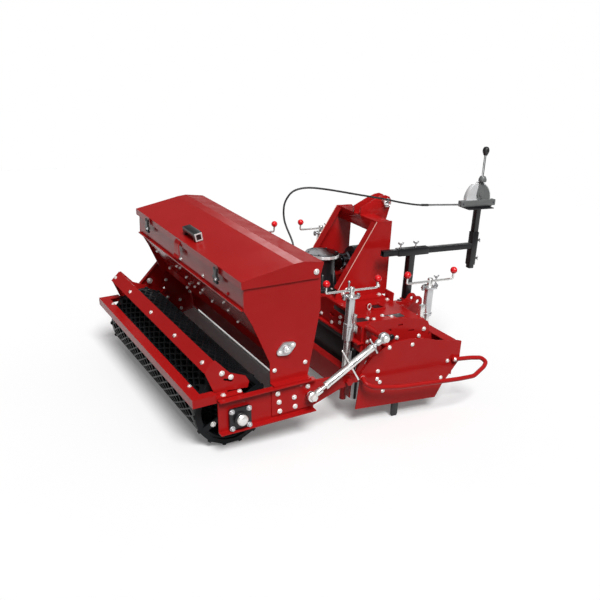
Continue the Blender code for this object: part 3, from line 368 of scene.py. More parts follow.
def uneven(tree, shader, value, low, high, start=0.3, end=0.7):
    """Roughness that wanders between two levels."""
    tree.links.new(mapped(tree, value, low, high, start, end), shader.inputs["Roughness"])


def enamel(name, dark, light, roughness, coat, shine=0.5):
    """Sprayed enamel with a little orange peel and uneven gloss."""
    made, tree, shader, place = finish_nodes(name, roughness, Coat_Weight=coat, Coat_Roughness=0.06,
                                             Specular_IOR_Level=shine)
    two_tone(tree, shader, mapped(tree, noise(tree, place, 5.0, 4.0), 0, 1), dark, light)
    uneven(tree, shader, noise(tree, place, 14.0), roughness - 0.05, roughness + 0.06)
    bumped(tree, shader, noise(tree, place, 260.0, 2.0), 0.05, 0.0004)
    return made


def plated(name, dark, light, roughness, spread=0.07, metal=1.0):
    """Bright zinc or chrome, with fine uneven marks."""
    made, tree, shader, place = finish_nodes(name, roughness, metal)
    two_tone(tree, shader, mapped(tree, noise(tree, place, 22.0, 4.0), 0, 1), dark, light)
    uneven(tree, shader, noise(tree, place, 60.0, 2.0), roughness - spread, roughness + spread)
    bumped(tree, shader, noise(tree, place, 420.0, 2.0), 0.06, 0.0003)
    return made


def galvanised(name):
    """Zinc-coated sheet with its cells of crystals."""
    made, tree, shader, place = finish_nodes(name, 0.42, 0.05)
    cells = add_node(tree, "ShaderNodeTexVoronoi", {"Scale": 55.0, "Randomness": 1.0, "Vector": place})
    split = add_node(tree, "ShaderNodeSeparateColor", {"Color": cells.outputs["Color"]})
    two_tone(tree, shader, split.outputs["Red"], (0.88, 0.89, 0.89), (0.94, 0.95, 0.94))
    uneven(tree, shader, split.outputs["Green"], 0.34, 0.52, 0, 1)
    bumped(tree, shader, noise(tree, place, 300.0, 2.0), 0.08, 0.0003)
    return made


def moulded(name, dark, light, roughness, scale=700.0, strength=0.12):
    """Plastic or rubber with a fine moulded grain."""
    made, tree, shader, place = finish_nodes(name, roughness)
    two_tone(tree, shader, mapped(tree, noise(tree, place, 30.0), 0, 1), dark, light)
    uneven(tree, shader, noise(tree, place, 18.0), roughness - 0.05, roughness + 0.05)
    bumped(tree, shader, noise(tree, place, scale, 2.0), strength, 0.0003)
    return made


RED = enamel("red_enamel", (0.43, 0.009, 0.009), (0.46, 0.011, 0.011), 0.2, 0.0, 0.16)
BLACK = enamel("black_enamel", (0.009, 0.009, 0.011), (0.016, 0.016, 0.018), 0.34, 0.1, 0.35)
# Pale pink paint for the painted edge highlight on the tower plates
EDGE_HIGHLIGHT_PAINT = enamel("painted_edge_highlight", (0.82, 0.4, 0.33), (0.92, 0.56, 0.48), 0.3, 0.0)
MESH_BLACK = enamel("mesh_enamel", (0.006, 0.007, 0.008), (0.014, 0.015, 0.017), 0.42, 0.0, 0.15)
ZINC = plated("bright_zinc", (0.72, 0.72, 0.71), (0.86, 0.86, 0.84), 0.24, metal=0.85)
BOLT_ZINC = plated("bolt_zinc", (0.84, 0.83, 0.8), (0.93, 0.92, 0.9), 0.3, metal=0.45)
CHROME = plated("polished_chrome", (0.86, 0.87, 0.88), (0.95, 0.95, 0.96), 0.09, spread=0.03)
CHROME_TUBE = plated("chrome_tube", (0.54, 0.55, 0.56), (0.64, 0.64, 0.65), 0.14, spread=0.03, metal=0.75)
RIM_CHROME = plated("rim_chrome", (0.86, 0.87, 0.88), (0.95, 0.95, 0.96), 0.16, spread=0.03, metal=0.4)
COVER_STEEL = plated("cover_steel", (0.06, 0.06, 0.07), (0.1, 0.1, 0.11), 0.3, spread=0.05)
PLATED_BOLT = plated("plated_bolt", (0.8, 0.8, 0.78), (0.9, 0.9, 0.88), 0.28, metal=0.65)
POLISHED = plated("polished_quadrant", (0.88, 0.89, 0.9), (0.95, 0.95, 0.96), 0.16, spread=0.04, metal=0.3)
STEEL = plated("dull_steel", (0.3, 0.3, 0.31), (0.42, 0.42, 0.43), 0.36)
DARK_CHROME = plated("blackened_steel", (0.1, 0.1, 0.115), (0.16, 0.16, 0.18), 0.16, spread=0.04)
CASTING = plated("grey_casting", (0.5, 0.5, 0.51), (0.64, 0.64, 0.65), 0.4, metal=0.8)
GALVANISED = galvanised("galvanised_sheet")
SHEATH = moulded("cable_sheath", (0.01, 0.01, 0.011), (0.02, 0.02, 0.022), 0.48)
GRIP = moulded("black_grip", (0.008, 0.008, 0.009), (0.018, 0.018, 0.02), 0.38)
KNOB_RED = moulded("knob_red", (0.8, 0.006, 0.012), (0.9, 0.01, 0.018), 0.24, 500.0, 0.05)
GREY = enamel("grey_enamel", (0.15, 0.155, 0.155), (0.19, 0.195, 0.195), 0.38, 0.15)
PALE = moulded("pale_plastic", (0.62, 0.62, 0.61), (0.7, 0.7, 0.69), 0.34)


# Making pieces

def settle(made, material, node, solid=False, smooth=35):
    """Give a piece its finish and the body of its node; with solid it stands for that node."""
    made.data.materials.clear()
    made.data.materials.append(material)
    for polygon in made.data.polygons:
        polygon.material_index = 0
    if smooth:
        made.data.shade_smooth()
        made.data.set_sharp_from_angle(angle=math.radians(smooth))
    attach(made, BODY_OF[node])
    if solid:
        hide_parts(node)


def placed(name, bm):
    """A new object in the scene from a bmesh."""
    mesh = bpy.data.meshes.new(name)
    bm.to_mesh(mesh)
    bm.free()
    return new_object(name, mesh)


def fixed(made):
    """Keep what the modifiers make as a plain mesh."""
    graph = bpy.context.evaluated_depsgraph_get()
    result = bpy.data.meshes.new_from_object(made.evaluated_get(graph))
    made.modifiers.clear()
    old = made.data
    made.data = result
    bpy.data.meshes.remove(old)


def rounded(made, width):
    """Round the edges."""
    step = made.modifiers.new("edges", "BEVEL")
    step.width = width
    step.segments = 2
    step.limit_method = "ANGLE"
    step.angle_limit = math.radians(32)
    step.harden_normals = False
    fixed(made)


def piece(name, parts, material, node, place=LEVEL, bevel=0.0, solid=False, smooth=35):
    """One visible piece from bmeshes that are moved together by place."""
    bm = joined(parts)
    bm.transform(place)
    made = placed(name, bm)
    if bevel:
        rounded(made, bevel)
    settle(made, material, node, solid, smooth)
    return made


def refined(node, material, bevel=0.0009, smooth=35):
    """A copy of a solid with merged faces and rounded edges, shown in its place."""
    bm = bmesh.new()
    bm.from_mesh(frame["nodes"][node].data)
    bmesh.ops.remove_doubles(bm, verts=bm.verts, dist=0.00002)
    bmesh.ops.dissolve_limit(bm, angle_limit=math.radians(1.0), verts=bm.verts, edges=bm.edges)
    made = placed(node + "_skin", bm)
    rounded(made, bevel)
    settle(made, material, node, True, smooth)


# Fasteners: one head, in sizes of the bolt, placed wherever a row of points says

WASHER_DEPTH = 0.18
WASHER_RADIUS = 1.28


def bolt_tree():
    """Washer, six-sided head and domed crown on each point, with its size and facing."""
    tree = bpy.data.node_groups.new("bolt_heads", "GeometryNodeTree")
    socket = tree.interface.new_socket
    socket("Geometry", in_out="INPUT", socket_type="NodeSocketGeometry")
    height = socket("Head height", in_out="INPUT", socket_type="NodeSocketFloat")
    socket("Geometry", in_out="OUTPUT", socket_type="NodeSocketGeometry")

    def add(kind, inputs=(), **settings):
        return add_node(tree, kind, inputs, **settings).outputs

    given = add("NodeGroupInput")
    head = given["Head height"]
    washer = add("GeometryNodeMeshCylinder", {"Vertices": 24, "Depth": WASHER_DEPTH, "Radius": WASHER_RADIUS})
    low = add("GeometryNodeTransform", {"Translation": (0, 0, WASHER_DEPTH / 2), "Geometry": washer["Mesh"]})
    hexa = add("GeometryNodeMeshCylinder", {"Vertices": 6, "Radius": 1.0, "Depth": head})
    half = add("ShaderNodeMath", {0: head, 1: 0.5, 2: WASHER_DEPTH}, operation="MULTIPLY_ADD")
    lift = add("ShaderNodeCombineXYZ", {"Z": half[0]})
    mid = add("GeometryNodeTransform", {"Geometry": hexa["Mesh"], "Translation": lift[0]})
    dome = add("GeometryNodeMeshUVSphere", {"Segments": 18, "Rings": 10, "Radius": 0.8})
    crown = add("ShaderNodeMath", {0: head, 1: 0.1}, operation="ADD")
    rise = add("ShaderNodeCombineXYZ", {"Z": crown[0]})
    top = add("GeometryNodeTransform",
              {"Scale": (1, 1, 0.42), "Geometry": dome["Mesh"], "Translation": rise[0]})
    both = add_node(tree, "GeometryNodeJoinGeometry")
    for part in (low, mid, top):
        tree.links.new(part["Geometry"], both.inputs["Geometry"])
    points = add("GeometryNodeMeshToPoints", {"Mesh": given["Geometry"]})
    facing = add("GeometryNodeInputNamedAttribute", {"Name": "facing"}, data_type="FLOAT_VECTOR")
    size = add("GeometryNodeInputNamedAttribute", {"Name": "size"}, data_type="FLOAT")
    aim = add("FunctionNodeAlignRotationToVector", {"Vector": facing["Attribute"]}, axis="Z")
    heads = add("GeometryNodeInstanceOnPoints",
                {"Points": points["Points"], "Instance": both.outputs["Geometry"],
                 "Rotation": aim["Rotation"], "Scale": size["Attribute"]})
    real = add("GeometryNodeRealizeInstances", {"Geometry": heads["Instances"]})
    add("NodeGroupOutput", {"Geometry": real["Geometry"]})
    return tree, height.identifier


BOLT_TREE, HEAD_SOCKET = bolt_tree()


def bolts(name, node, rows, place=LEVEL, head=0.62, material=BOLT_ZINC):
    """rows: (x, y, z, facing, size), each the middle of a head's seat; head is its height in sizes."""
    mesh = bpy.data.meshes.new(name)
    turn = place.to_3x3()
    mesh.from_pydata([place @ Vector(row[:3]) for row in rows], [], [])
    mesh.attributes.new("facing", "FLOAT_VECTOR", "POINT")
    mesh.attributes.new("size", "FLOAT", "POINT")
    for i, row in enumerate(rows):
        mesh.attributes["facing"].data[i].vector = turn @ Vector(row[3])
        mesh.attributes["size"].data[i].value = row[4]
    made = new_object(name, mesh)
    step = made.modifiers.new("heads", "NODES")
    step.node_group = BOLT_TREE
    step[HEAD_SOCKET] = head
    fixed(made)
    settle(made, material, node)


def on_side(sign, x, size, spots):
    """Bolt rows on an upright face that looks away from the machine's middle."""
    return [(sign * x, y, z, (sign, 0, 0), size) for y, z in spots]


def on_wall(y, size, spots, facing=BACK):
    """Bolt rows on an upright face across the machine."""
    return [(x, y, z, facing, size) for x, z in spots]


def on_top(z, size, spots):
    """Bolt rows on a level face."""
    return [(x, y, z, UP, size) for x, y in spots]


# Control cable, from the lever box's guide tube to the gland on the hopper

CABLE_ROUTE = [(0.281, 0.8096, 0.967), (0.281, 0.77, 0.969), (0.281, 0.72, 0.974), (0.278, 0.626, 0.99),
               (0.27, 0.54, 1.008), (0.25, 0.392, 1.033), (0.22, 0.2155, 1.0615), (0.195, 0.125, 1.067),
               (0.175, 0.0655, 1.0503), (0.162, 0.036, 1.0115), (0.158, 0.024, 0.963), (0.172, 0.027, 0.895),
               (0.235, 0.045, 0.8), (0.272, 0.015, 0.757), (0.289, -0.012, 0.713), (0.29, -0.013, 0.6856)]


def control_cable():
    points = [LEVEL @ p for p in smooth_route(CABLE_ROUTE, 0.012)]
    curve = bpy.data.curves.new("cable", "CURVE")
    curve.dimensions = "3D"
    curve.bevel_depth = CABLE_WIDTH / 2
    curve.bevel_resolution = 5
    curve.use_fill_caps = True
    curve.resolution_u = 1
    curve.render_resolution_u = 0
    spline = curve.splines.new("POLY")
    spline.points.add(len(points) - 1)
    for target, point in zip(spline.points, points):
        target.co = (*point, 1.0)
    made = new_object("cable", curve)
    curve.materials.append(SHEATH)
    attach(made, "seeder")
    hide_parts("control_cable")
    start, second = (Vector(p) for p in CABLE_ROUTE[:2])
    tube = lathe([(0.0048, 0.0), (0.006, 0.001), (0.0063, 0.004), (0.0063, 0.04), (0.0056, 0.046),
                  (0.0048, 0.05)], start, second - start, 24)
    sleeve = piece("cable_ferrule", [tube], SHEATH, "control_cable")


control_cable()


# Sheet metal that keeps the solids' shapes

for node in ("gear_trough", "tower_head", "levelling_board_front", "levelling_board_rear", "roller_frame",
             "scraper", "hopper_trough", "hopper_lid", "side_bracket_left", "side_bracket_right",
             "side_panel_left", "side_panel_right", "tower_plate_left", "tower_plate_right",
             "hitch_lugs_left", "hitch_lugs_right", "side_rail_left", "side_rail_right", "hopper_side_left",
             "hopper_side_right"):
    refined(node, RED, smooth=9 if "lugs" not in node and "head" not in node else 35)
for node in ("parking_leg_left", "parking_leg_right", "rotor_1", "rotor_2", "rotor_3", "rotor_4", "rotor_5"):
    refined(node, BLACK, 0.0012)
refined("guide_plate", GALVANISED, 0.0005)


# Harrow: guards, gearbox and shaft

def mirrored(parts, sign):
    if sign < 0:
        for bm in parts:
            bmesh.ops.scale(bm, vec=(-1, 1, 1), verts=bm.verts)
            bmesh.ops.reverse_faces(bm, faces=bm.faces)
    return parts


def guard_hoop(sign, ending):
    route = [(0.699, 0.205, 0.262), (0.728, 0.202, 0.245), (0.752, 0.24, 0.228), (0.767, 0.381, 0.213),
             (0.781, 0.73, 0.204), (0.77, 0.835, 0.198), (0.738, 0.925, 0.223), (0.722, 0.949, 0.238),
             (0.708, 0.925, 0.2595), (0.7, 0.8565, 0.2665), (0.699, 0.76, 0.272)]
    parts = [swept(bent(route, 0.018), 0.0112, 20)]
    parts += [rod((0.6864, y, z), (HOOP_FACE, y, z), 0.017, 24, 0.001) for y, z in HOOP_FEET]
    node = "guard_hoop_" + ending
    piece(node + "_bar", mirrored(parts, sign), RED, node, solid=True, smooth=50)


def gearbox():
    foot = TROUGH_TOP + 0.0004
    y = GEARBOX_Y
    base = (0, y, 0)
    housing = lathe([(0.098, foot), (0.098, foot + 0.014), (0.095, foot + 0.017), (0.078, foot + 0.022),
                     (0.074, foot + 0.028), (0.074, 0.632), (0.077, 0.637), (0.077, 0.6475)], base, UP, 56)
    ribs = []
    for k in range(8):
        rib = prism([(0.07, foot + 0.018), (0.093, foot + 0.018), (0.078, 0.56), (0.07, 0.57)],
                    -0.003, 0.003, "Y")
        turn = Matrix.Rotation(math.radians(45 * k + 22.5), 3, "Z")
        bmesh.ops.rotate(rib, cent=(0, 0, 0), matrix=turn, verts=rib.verts)
        bmesh.ops.translate(rib, vec=base, verts=rib.verts)
        ribs.append(rib)
    piece("gearbox_housing", [housing] + ribs, BLACK, "gearbox", solid=True)
    cover = lathe([(0.0, 0.648), (0.088, 0.648), (0.09, 0.65), (0.09, 0.668), (0.0885, 0.6705),
                   (0.084, 0.6715), (0.04, 0.6728), (0.0, 0.6734)], base, UP, 64)
    piece("gearbox_cover", [cover], COVER_STEEL, "gearbox")
    rim = pipe((0, y, 0.652), (0, y, 0.6685), 0.091, 0.0885, 64, 0.001)
    piece("gearbox_rim", [rim], RIM_CHROME, "gearbox")
    snout = lathe([(0.053, 0.05), (0.053, 0.096), (0.05, 0.1), (0.044, 0.116), (0.043, 0.119), (0.043, 0.148),
                   (0.05, 0.155), (0.05, 0.182), (0.0485, 0.184), (0.02, 0.184)], (0, y, PTO_Z), AHEAD, 48)
    piece("gearbox_snout", [snout], DARK_CHROME, "gearbox")
    guard = lathe([(0.022, 0), (0.076, 0), (0.0785, 0.003), (0.08, 0.03), (0.079, 0.034), (0.0855, 0.117),
                   (0.086, 0.121), (0.082, 0.121), (0.0745, 0.006), (0.022, 0.006)],
                  (0, 0.5425, PTO_Z), AHEAD, 48, ring=True)
    piece("shaft_guard", [guard], GRIP, "gearbox")

    def ringed(radius, z, size):
        return [(radius * math.cos(t), y + radius * math.sin(t), z, UP, size)
                for t in turns(6, math.radians(15))]

    bolts("gearbox_cover_bolts", "gearbox", ringed(0.076, 0.6712, 0.0048), material=DARK_CHROME)
    bolts("gearbox_foot_bolts", "gearbox", ringed(0.0885, foot + 0.0165, 0.006))


def input_shaft():
    outline = []
    for k in range(6):
        a = 60 * k
        outline += arc(0, PTO_Z, 0.015, a + 13, a + 47, 3)
        outline += arc(0, PTO_Z, 0.0175, a + 50, a + 70, 3)
    splines = prism(outline, 0.505, 0.657, "Y")
    tip = prism(outline, 0.6665, 0.686, "Y")
    core = rod((0, 0.491, PTO_Z), (0, 0.6885, PTO_Z), 0.0148, 32, 0.001)
    piece("input_shaft_splines", [splines, tip, core], CHROME, "input_shaft", solid=True)


def tower_edge(sign, ending):
    """Pale line painted as a highlight along the slanted edge of a tower plate."""
    line = swept([Vector((sign * 0.2008, 0.348, 0.5195)), Vector((sign * 0.2008, 0.5525, 0.871))], 0.0019, 10)
    piece("tower_edge_" + ending, [line], EDGE_HIGHLIGHT_PAINT, "tower_plate_" + ending)


for hand in SIDES:
    guard_hoop(*hand)
    tower_edge(*hand)
gearbox()
input_shaft()


# Jacks

def thread(start, end, radius, pitch=0.0032):
    root = radius - 0.001
    length = (Vector(end) - Vector(start)).length
    profile = [(root, 0.0)]
    for i in range(int(length / pitch)):
        profile += [(root, (i + 0.1) * pitch), (radius, (i + 0.42) * pitch), (radius, (i + 0.58) * pitch),
                    (root, (i + 0.9) * pitch)]
    profile.append((root, length))
    return lathe(profile, start, Vector(end) - Vector(start), 20)


def wing_screw(seat, facing, across, reach=0.022, wing=1.0):
    """Screw with a two-winged head, standing on its seat."""
    seat = Vector(seat)
    facing = Vector(facing)
    top = seat + facing * reach
    parts = [rod(seat, top, 0.0032, 12),
             lathe([(0.0062, 0), (0.005, 0.008)], top - facing * 0.006, facing, 16)]
    for side in (1, -1):
        out = Vector(across) * side * wing
        route = [top - facing * 0.002, top + out * 0.008 + facing * 0.001,
                 top + out * 0.012 + facing * 0.006 * wing]
        parts.append(swept(bent(route, 0.005, 4), 0.003 * wing, 10))
    return parts


def jack(sign, place, ending):
    x = sign * JACK_X
    y = JACKS[place]
    base = (x, y, 0)
    rear = place == "rear"
    node = "jack_body_" + place + "_" + ending
    tube = lathe([(0.0095, 0.608), (0.0205, 0.608), (0.0205, 0.621), (0.033, 0.621), (0.0345, 0.62),
                  (0.0345, 0.613), (0.033, 0.6115), (0.0245, 0.61), (0.0222, 0.607), (0.0222, 0.483),
                  (0.025, 0.482), (0.0265, 0.4805), (0.0265, 0.469), (0.025, 0.4675), (0.0176, 0.4675),
                  (0.0176, 0.599), (0.0095, 0.599)], base, UP, 48, ring=True)
    piece(node + "_tube", [tube], CHROME_TUBE, node, solid=True)
    if rear:
        face = 0.2417
        stay = [(y + 0.0185, 0.437), (face, 0.437), (face, 0.522), (y + 0.0195, 0.53)]
        foot = box((x - 0.024, face - 0.007, 0.432), (x + 0.024, face, 0.468))
        board, sleeve_foot = "rear", 0.252
    else:
        face = 0.6204
        stay = [(face, 0.437), (y - 0.0185, 0.437), (y - 0.0195, 0.53), (face, 0.522)]
        foot = box((x - 0.024, face, 0.42), (x + 0.024, face + 0.0065, 0.4695))
        board, sleeve_foot = "front", 0.3705
    piece(node + "_foot", [prism(stay, x - 0.011, x + 0.011), foot], ZINC, node, bevel=0.0014)
    sleeve = lathe([(0.015, sleeve_foot), (0.0168, sleeve_foot + 0.001), (0.0168, 0.54), (0.015, 0.541)],
                   base, UP, 40)
    piece(node + "_sleeve", [sleeve], ZINC, "levelling_board_" + board)
    if rear:
        socket = pipe((x, y, 0.396), (x, y, 0.4668), 0.0262, 0.0182, 40, 0.0012)
        piece(node + "_socket", [socket], CHROME_TUBE, node)
    lugs = []
    for end in (-1, 1):
        near, far = sorted((end * 0.024, end * 0.047))
        bolt_y = y + end * 0.039
        lugs.append(box((x - 0.0085, y + near, 0.6125), (x + 0.0085, y + far, 0.619)))
        lugs.append(hexagon((x, bolt_y, 0.619), (x, bolt_y, 0.629), 0.0085))
        lugs.append(hexagon((x, bolt_y, 0.602), (x, bolt_y, 0.6125), 0.0085))
    piece(node + "_lugs", lugs, STEEL, node, bevel=0.001)


def crank(sign, place, ending):
    x = sign * JACK_X
    y = JACKS[place]
    tip = CRANK_ARM - 0.0005
    node = "jack_crank_" + place + "_" + ending
    parts = [lathe([(0.008, 0.36), (0.008, 0.6088), (0.0185, 0.6088), (0.0195, 0.61), (0.0195, 0.621),
                    (0.018, 0.6235), (0.0135, 0.625), (0.0135, 0.659), (0.012, 0.6615), (0.006, 0.663)],
                    (x, y, 0), UP, 40)]
    for end in (-1, 1):
        route = [(x, y + end * 0.006, CRANK_Z), (x, y + end * tip, CRANK_Z), (x, y + end * tip, 0.68)]
        parts.append(swept(bent(route, 0.01), 0.0058, 16))
    piece(node + "_bar", parts, ZINC, node, solid=True, smooth=50)
    knobs = [ball((x, y + end * tip, 0.6905), KNOB_RADIUS) for end in (-1, 1)]
    piece(node + "_knobs", knobs, KNOB_RED, node, smooth=60)
    if place == "rear":
        pin_y = y - 0.019
        pin = [rod((x, pin_y, 0.65), (x, pin_y, 0.688), 0.0036, 16),
               hexagon((x, pin_y, 0.65), (x, pin_y, 0.657), 0.008), ball((x, pin_y, 0.689), 0.0072, 20, 12)]
    else:
        spot = (x, y + 0.037, CRANK_Z)
        pin = wing_screw(spot, UP, AHEAD, 0.02, 1.2) + wing_screw(spot, (0, 0, -1), AHEAD, 0.02, 1.2)
    piece(node + "_pin", pin, STEEL, node, smooth=40)


for hand in SIDES:
    for place in ("rear", "front"):
        jack(hand[0], place, hand[1])
        crank(hand[0], place, hand[1])


# Hitch pin and console

def top_pin():
    y, z = TOP_PIN
    pin = lathe([(0.0085, 0), (0.0095, 0.0012), (0.0095, 0.093), (0.0135, 0.094), (0.014, 0.095),
                 (0.014, 0.101), (0.013, 0.102)], (-0.05, y, z), RIGHT, 32)
    ring = swept([Vector((0.055, y + 0.022 * math.sin(t), z + 0.006 + 0.022 * math.cos(t)))
                  for t in turns(30)], 0.0022, 10, closed=True)
    route = ((-0.03, 0.02), (0.024, -0.012), (0.034, -0.002), (0.016, 0.012), (-0.01, 0.014), (-0.026, 0.03))
    clip = swept(bent([(0.044, y + a, z + b) for a, b in route], 0.012), 0.002, 10)
    piece("top_pin_turned", [pin, ring, clip], CHROME, "top_link_pin", solid=True, smooth=50)


def console():
    for node in ("console_post", "console_arm", "console_stem"):
        refined(node, BLACK, 0.0022, 28)
    screws = []
    for y in (0.661, 0.758):
        screws += wing_screw((CONSOLE_X, y, 0.7435), UP, AHEAD, 0.024, 1.35)
        screws.append(pipe((CONSOLE_X, y, 0.7425), (CONSOLE_X, y, 0.7495), 0.0075, 0.003, 6))
    screws += wing_screw((CONSOLE_X, 0.7075, 0.4565), BACK, RIGHT, 0.02)
    piece("arm_screws", screws, STEEL, "console_post", smooth=50)
    screws = []
    for z in (0.751, 0.648):
        screws += wing_screw((CONSOLE_X, 1.167, z), AHEAD, UP, 0.026, 0.9)
        screws.append(pipe((CONSOLE_X, 1.166, z), (CONSOLE_X, 1.173, z), 0.0075, 0.003, 6))
    piece("stem_screws", screws, STEEL, "console_arm", smooth=50)


def quadrant_edge(across, height, start, step):
    """Points along the rounded edge of the lever box's quadrant, down to its front end."""
    angles = [math.radians(t) for t in range(start, -1, -step)]
    y = LEVER_PIVOT[0] - 0.002
    return [(y + across * math.cos(t), QUADRANT_FOOT + height * math.sin(t)) for t in angles]


def lever_base():
    y = LEVER_PIVOT[0]
    case = box((CONSOLE_X - 0.014, 1.02, 0.947), (CONSOLE_X + 0.014, 1.258, 0.979))
    piece("lever_case", [case], GREY, "lever_base", bevel=0.0022, solid=True)
    corners = ((-1, 1.075), (-0.45, 1.046), (0.45, 1.046), (1, 1.075), (1, 1.205), (0.45, 1.238),
               (-0.45, 1.238), (-1, 1.205))
    plate = prism([(CONSOLE_X + 0.022 * side, end) for side, end in corners], 0.94, 0.9468, "Z")
    piece("lever_plate", [plate], BLACK, "lever_base", bevel=0.001)
    dome = [(y - 0.086, 0.9768)] + quadrant_edge(0.084, 0.094, 180, 6) + [(y + 0.082, 0.9768)]
    piece("lever_dome", [prism(dome, CONSOLE_X - 0.022, CONSOLE_X + 0.004)], POLISHED, "lever_base",
          bevel=0.006)
    # Thin grey plate over the front half of the polished dome, painted as the shade on that half
    half = [(y + 0.008, QUADRANT_FOOT)] + quadrant_edge(0.078, 0.088, 80, 5)
    piece("lever_dome_shade", [prism(half, CONSOLE_X + 0.003, CONSOLE_X + 0.0044)], GREY, "lever_base")
    tube = pipe((CONSOLE_X, 0.81, 0.967), (CONSOLE_X, 1.036, 0.9575), 0.005, 0.0022, 24)
    nut = hexagon((CONSOLE_X, 1.02, 0.9582), (CONSOLE_X, 1.032, 0.9577), 0.009)
    piece("guide_tube", [tube, nut], STEEL, "lever_base")
    bolts("case_bolts", "lever_base", on_side(1, CONSOLE_X + 0.014, 0.004, ((1.034, 0.963), (1.244, 0.963))),
          material=DARK_CHROME)


def control_lever():
    y, z = LEVER_PIVOT
    x0 = CONSOLE_X + 0.0046
    x1 = x0 + 0.01
    middle = x0 + 0.005
    blade = arc(y, z, 0.022, 195, 345, 15)
    blade += [(y + 0.021, z + 0.01), (y + 0.015, z + 0.042), (y + 0.01, z + 0.072), (y - 0.01, z + 0.072),
              (y - 0.015, z + 0.042), (y - 0.021, z + 0.01)]
    piece("lever_blade", [prism(blade, x0, x1)], GREY, "control_lever", bevel=0.0018, solid=True)
    boss = lathe([(0.01, 1.079), (0.02, 1.08), (0.0215, 1.0822), (0.0215, 1.093), (0.016, 1.106),
                  (0.014, 1.109), (0.0065, 1.11)], (middle, y + 0.003, 0), UP, 32)
    nut = hexagon((x1 - 0.001, y, z), (x1 + 0.006, y, z), 0.011)
    piece("lever_boss", [boss, nut], GREY, "control_lever")
    stick = rod((middle, y, 1.1), (middle, y, 1.228), 0.006, 24)
    piece("lever_rod", [stick], CHROME, "control_lever")
    knob = lathe([(0.0085, 1.22), (0.011, 1.2215), (0.0125, 1.226), (0.0155, 1.233), (0.0178, 1.239),
                  (0.0185, 1.244), (0.0175, 1.252), (0.015, 1.259), (0.011, 1.264), (0.006, 1.2662),
                  (0.0, 1.2668)], (middle, y, 0), UP, 12)
    piece("lever_knob", [knob], GRIP, "control_lever", bevel=0.0012, smooth=45)


top_pin()
console()
lever_base()
control_lever()


# Turnbuckle: its length in the level frame, so the seeder's pin is brought there

def level_point(point):
    """A seeder point (y, z) in the level frame."""
    y, z = point
    c = math.cos(math.radians(SEEDER_TILT))
    s = math.sin(math.radians(SEEDER_TILT))
    return (y * c - z * s, y * s + z * c + SEEDER_LIFT)


def turnbuckle():
    low = Vector((LINK_X, *level_point(CLEVIS)))
    high = Vector((LINK_X, *LINK_TOP))
    along = (low - high).normalized()
    length = (low - high).length
    cross = Vector((0, -along.z, along.y))
    out = Vector(RIGHT)

    def at(reach):
        return high + along * reach

    def eye(centre, bore, radius):
        return pipe(centre - out * 0.0125, centre + out * 0.0125, radius, bore, 40, 0.005)

    def washer(centre):
        return rod(centre - out * 0.019, centre - out * 0.013, 0.019, 32, 0.001)

    bar = at(0.063)
    upper = [eye(high, 0.0102, 0.0265),
             lathe([(0.011, 0.016), (0.0135, 0.02), (0.015, 0.027), (0.015, 0.04), (0.0135, 0.045),
                    (0.01, 0.048)], high, along, 32),
             thread(at(0.047), at(0.135), 0.0094),
             hexagon(at(0.056), at(0.068), 0.0165),
             swept([bar - cross * 0.042, bar, bar + cross * 0.042], 0.0042, 16)]
    upper += [ball(bar + cross * side * 0.0415, 0.0055, 16, 10) for side in (1, -1)]
    piece("link_upper_end", upper, CASTING, "link_upper", solid=True)
    parts = [lathe([(0.0108, 0.07), (0.016, 0.07), (0.0178, 0.0715), (0.0178, 0.09), (0.0166, 0.092),
                    (0.0166, 0.19), (0.0176, 0.192), (0.0176, 0.218), (0.0166, 0.22), (0.0166, 0.338),
                    (0.0178, 0.34), (0.0178, 0.356), (0.0165, 0.3575), (0.0108, 0.3575)],
                   high, along, 48, ring=True)]
    middle = at(0.205)
    for side in (1, -1):
        tip = middle + cross * (side * 0.093)
        parts += [rod(middle + cross * (side * 0.014), tip, 0.0044, 20), ball(tip, 0.0052, 16, 10)]
    piece("link_barrel_tube", parts, ZINC, "link_barrel", solid=True)
    neck = ((0.01, 0.056), (0.0145, 0.052), (0.0155, 0.046), (0.0155, 0.028), (0.0135, 0.02), (0.011, 0.016))
    lower = [eye(low, 0.0105, 0.0245), thread(at(0.185), at(length - 0.04), 0.0094),
             lathe([(radius, length - short) for radius, short in neck], high, along, 32)]
    piece("link_lower_end", lower, ZINC, "link_lower", solid=True)
    cap = rod(high + out * 0.013, high + out * 0.029, 0.0165, 32, 0.004)
    piece("upper_pin_nut", [cap, washer(high)], BOLT_ZINC, "side_bracket_right")
    nut = hexagon(low + out * 0.013, low + out * 0.0255, 0.0165)
    piece("lower_pin_nut", [nut, washer(low)], BOLT_ZINC, "side_rail_right")
    spacer = rod((BRACKET_FACE, 0.407, 0.411), (0.629, 0.407, 0.411), 0.0135, 32, 0.002)
    piece("bracket_spacer", [spacer], GRIP, "side_bracket_right")


turnbuckle()


# Roller

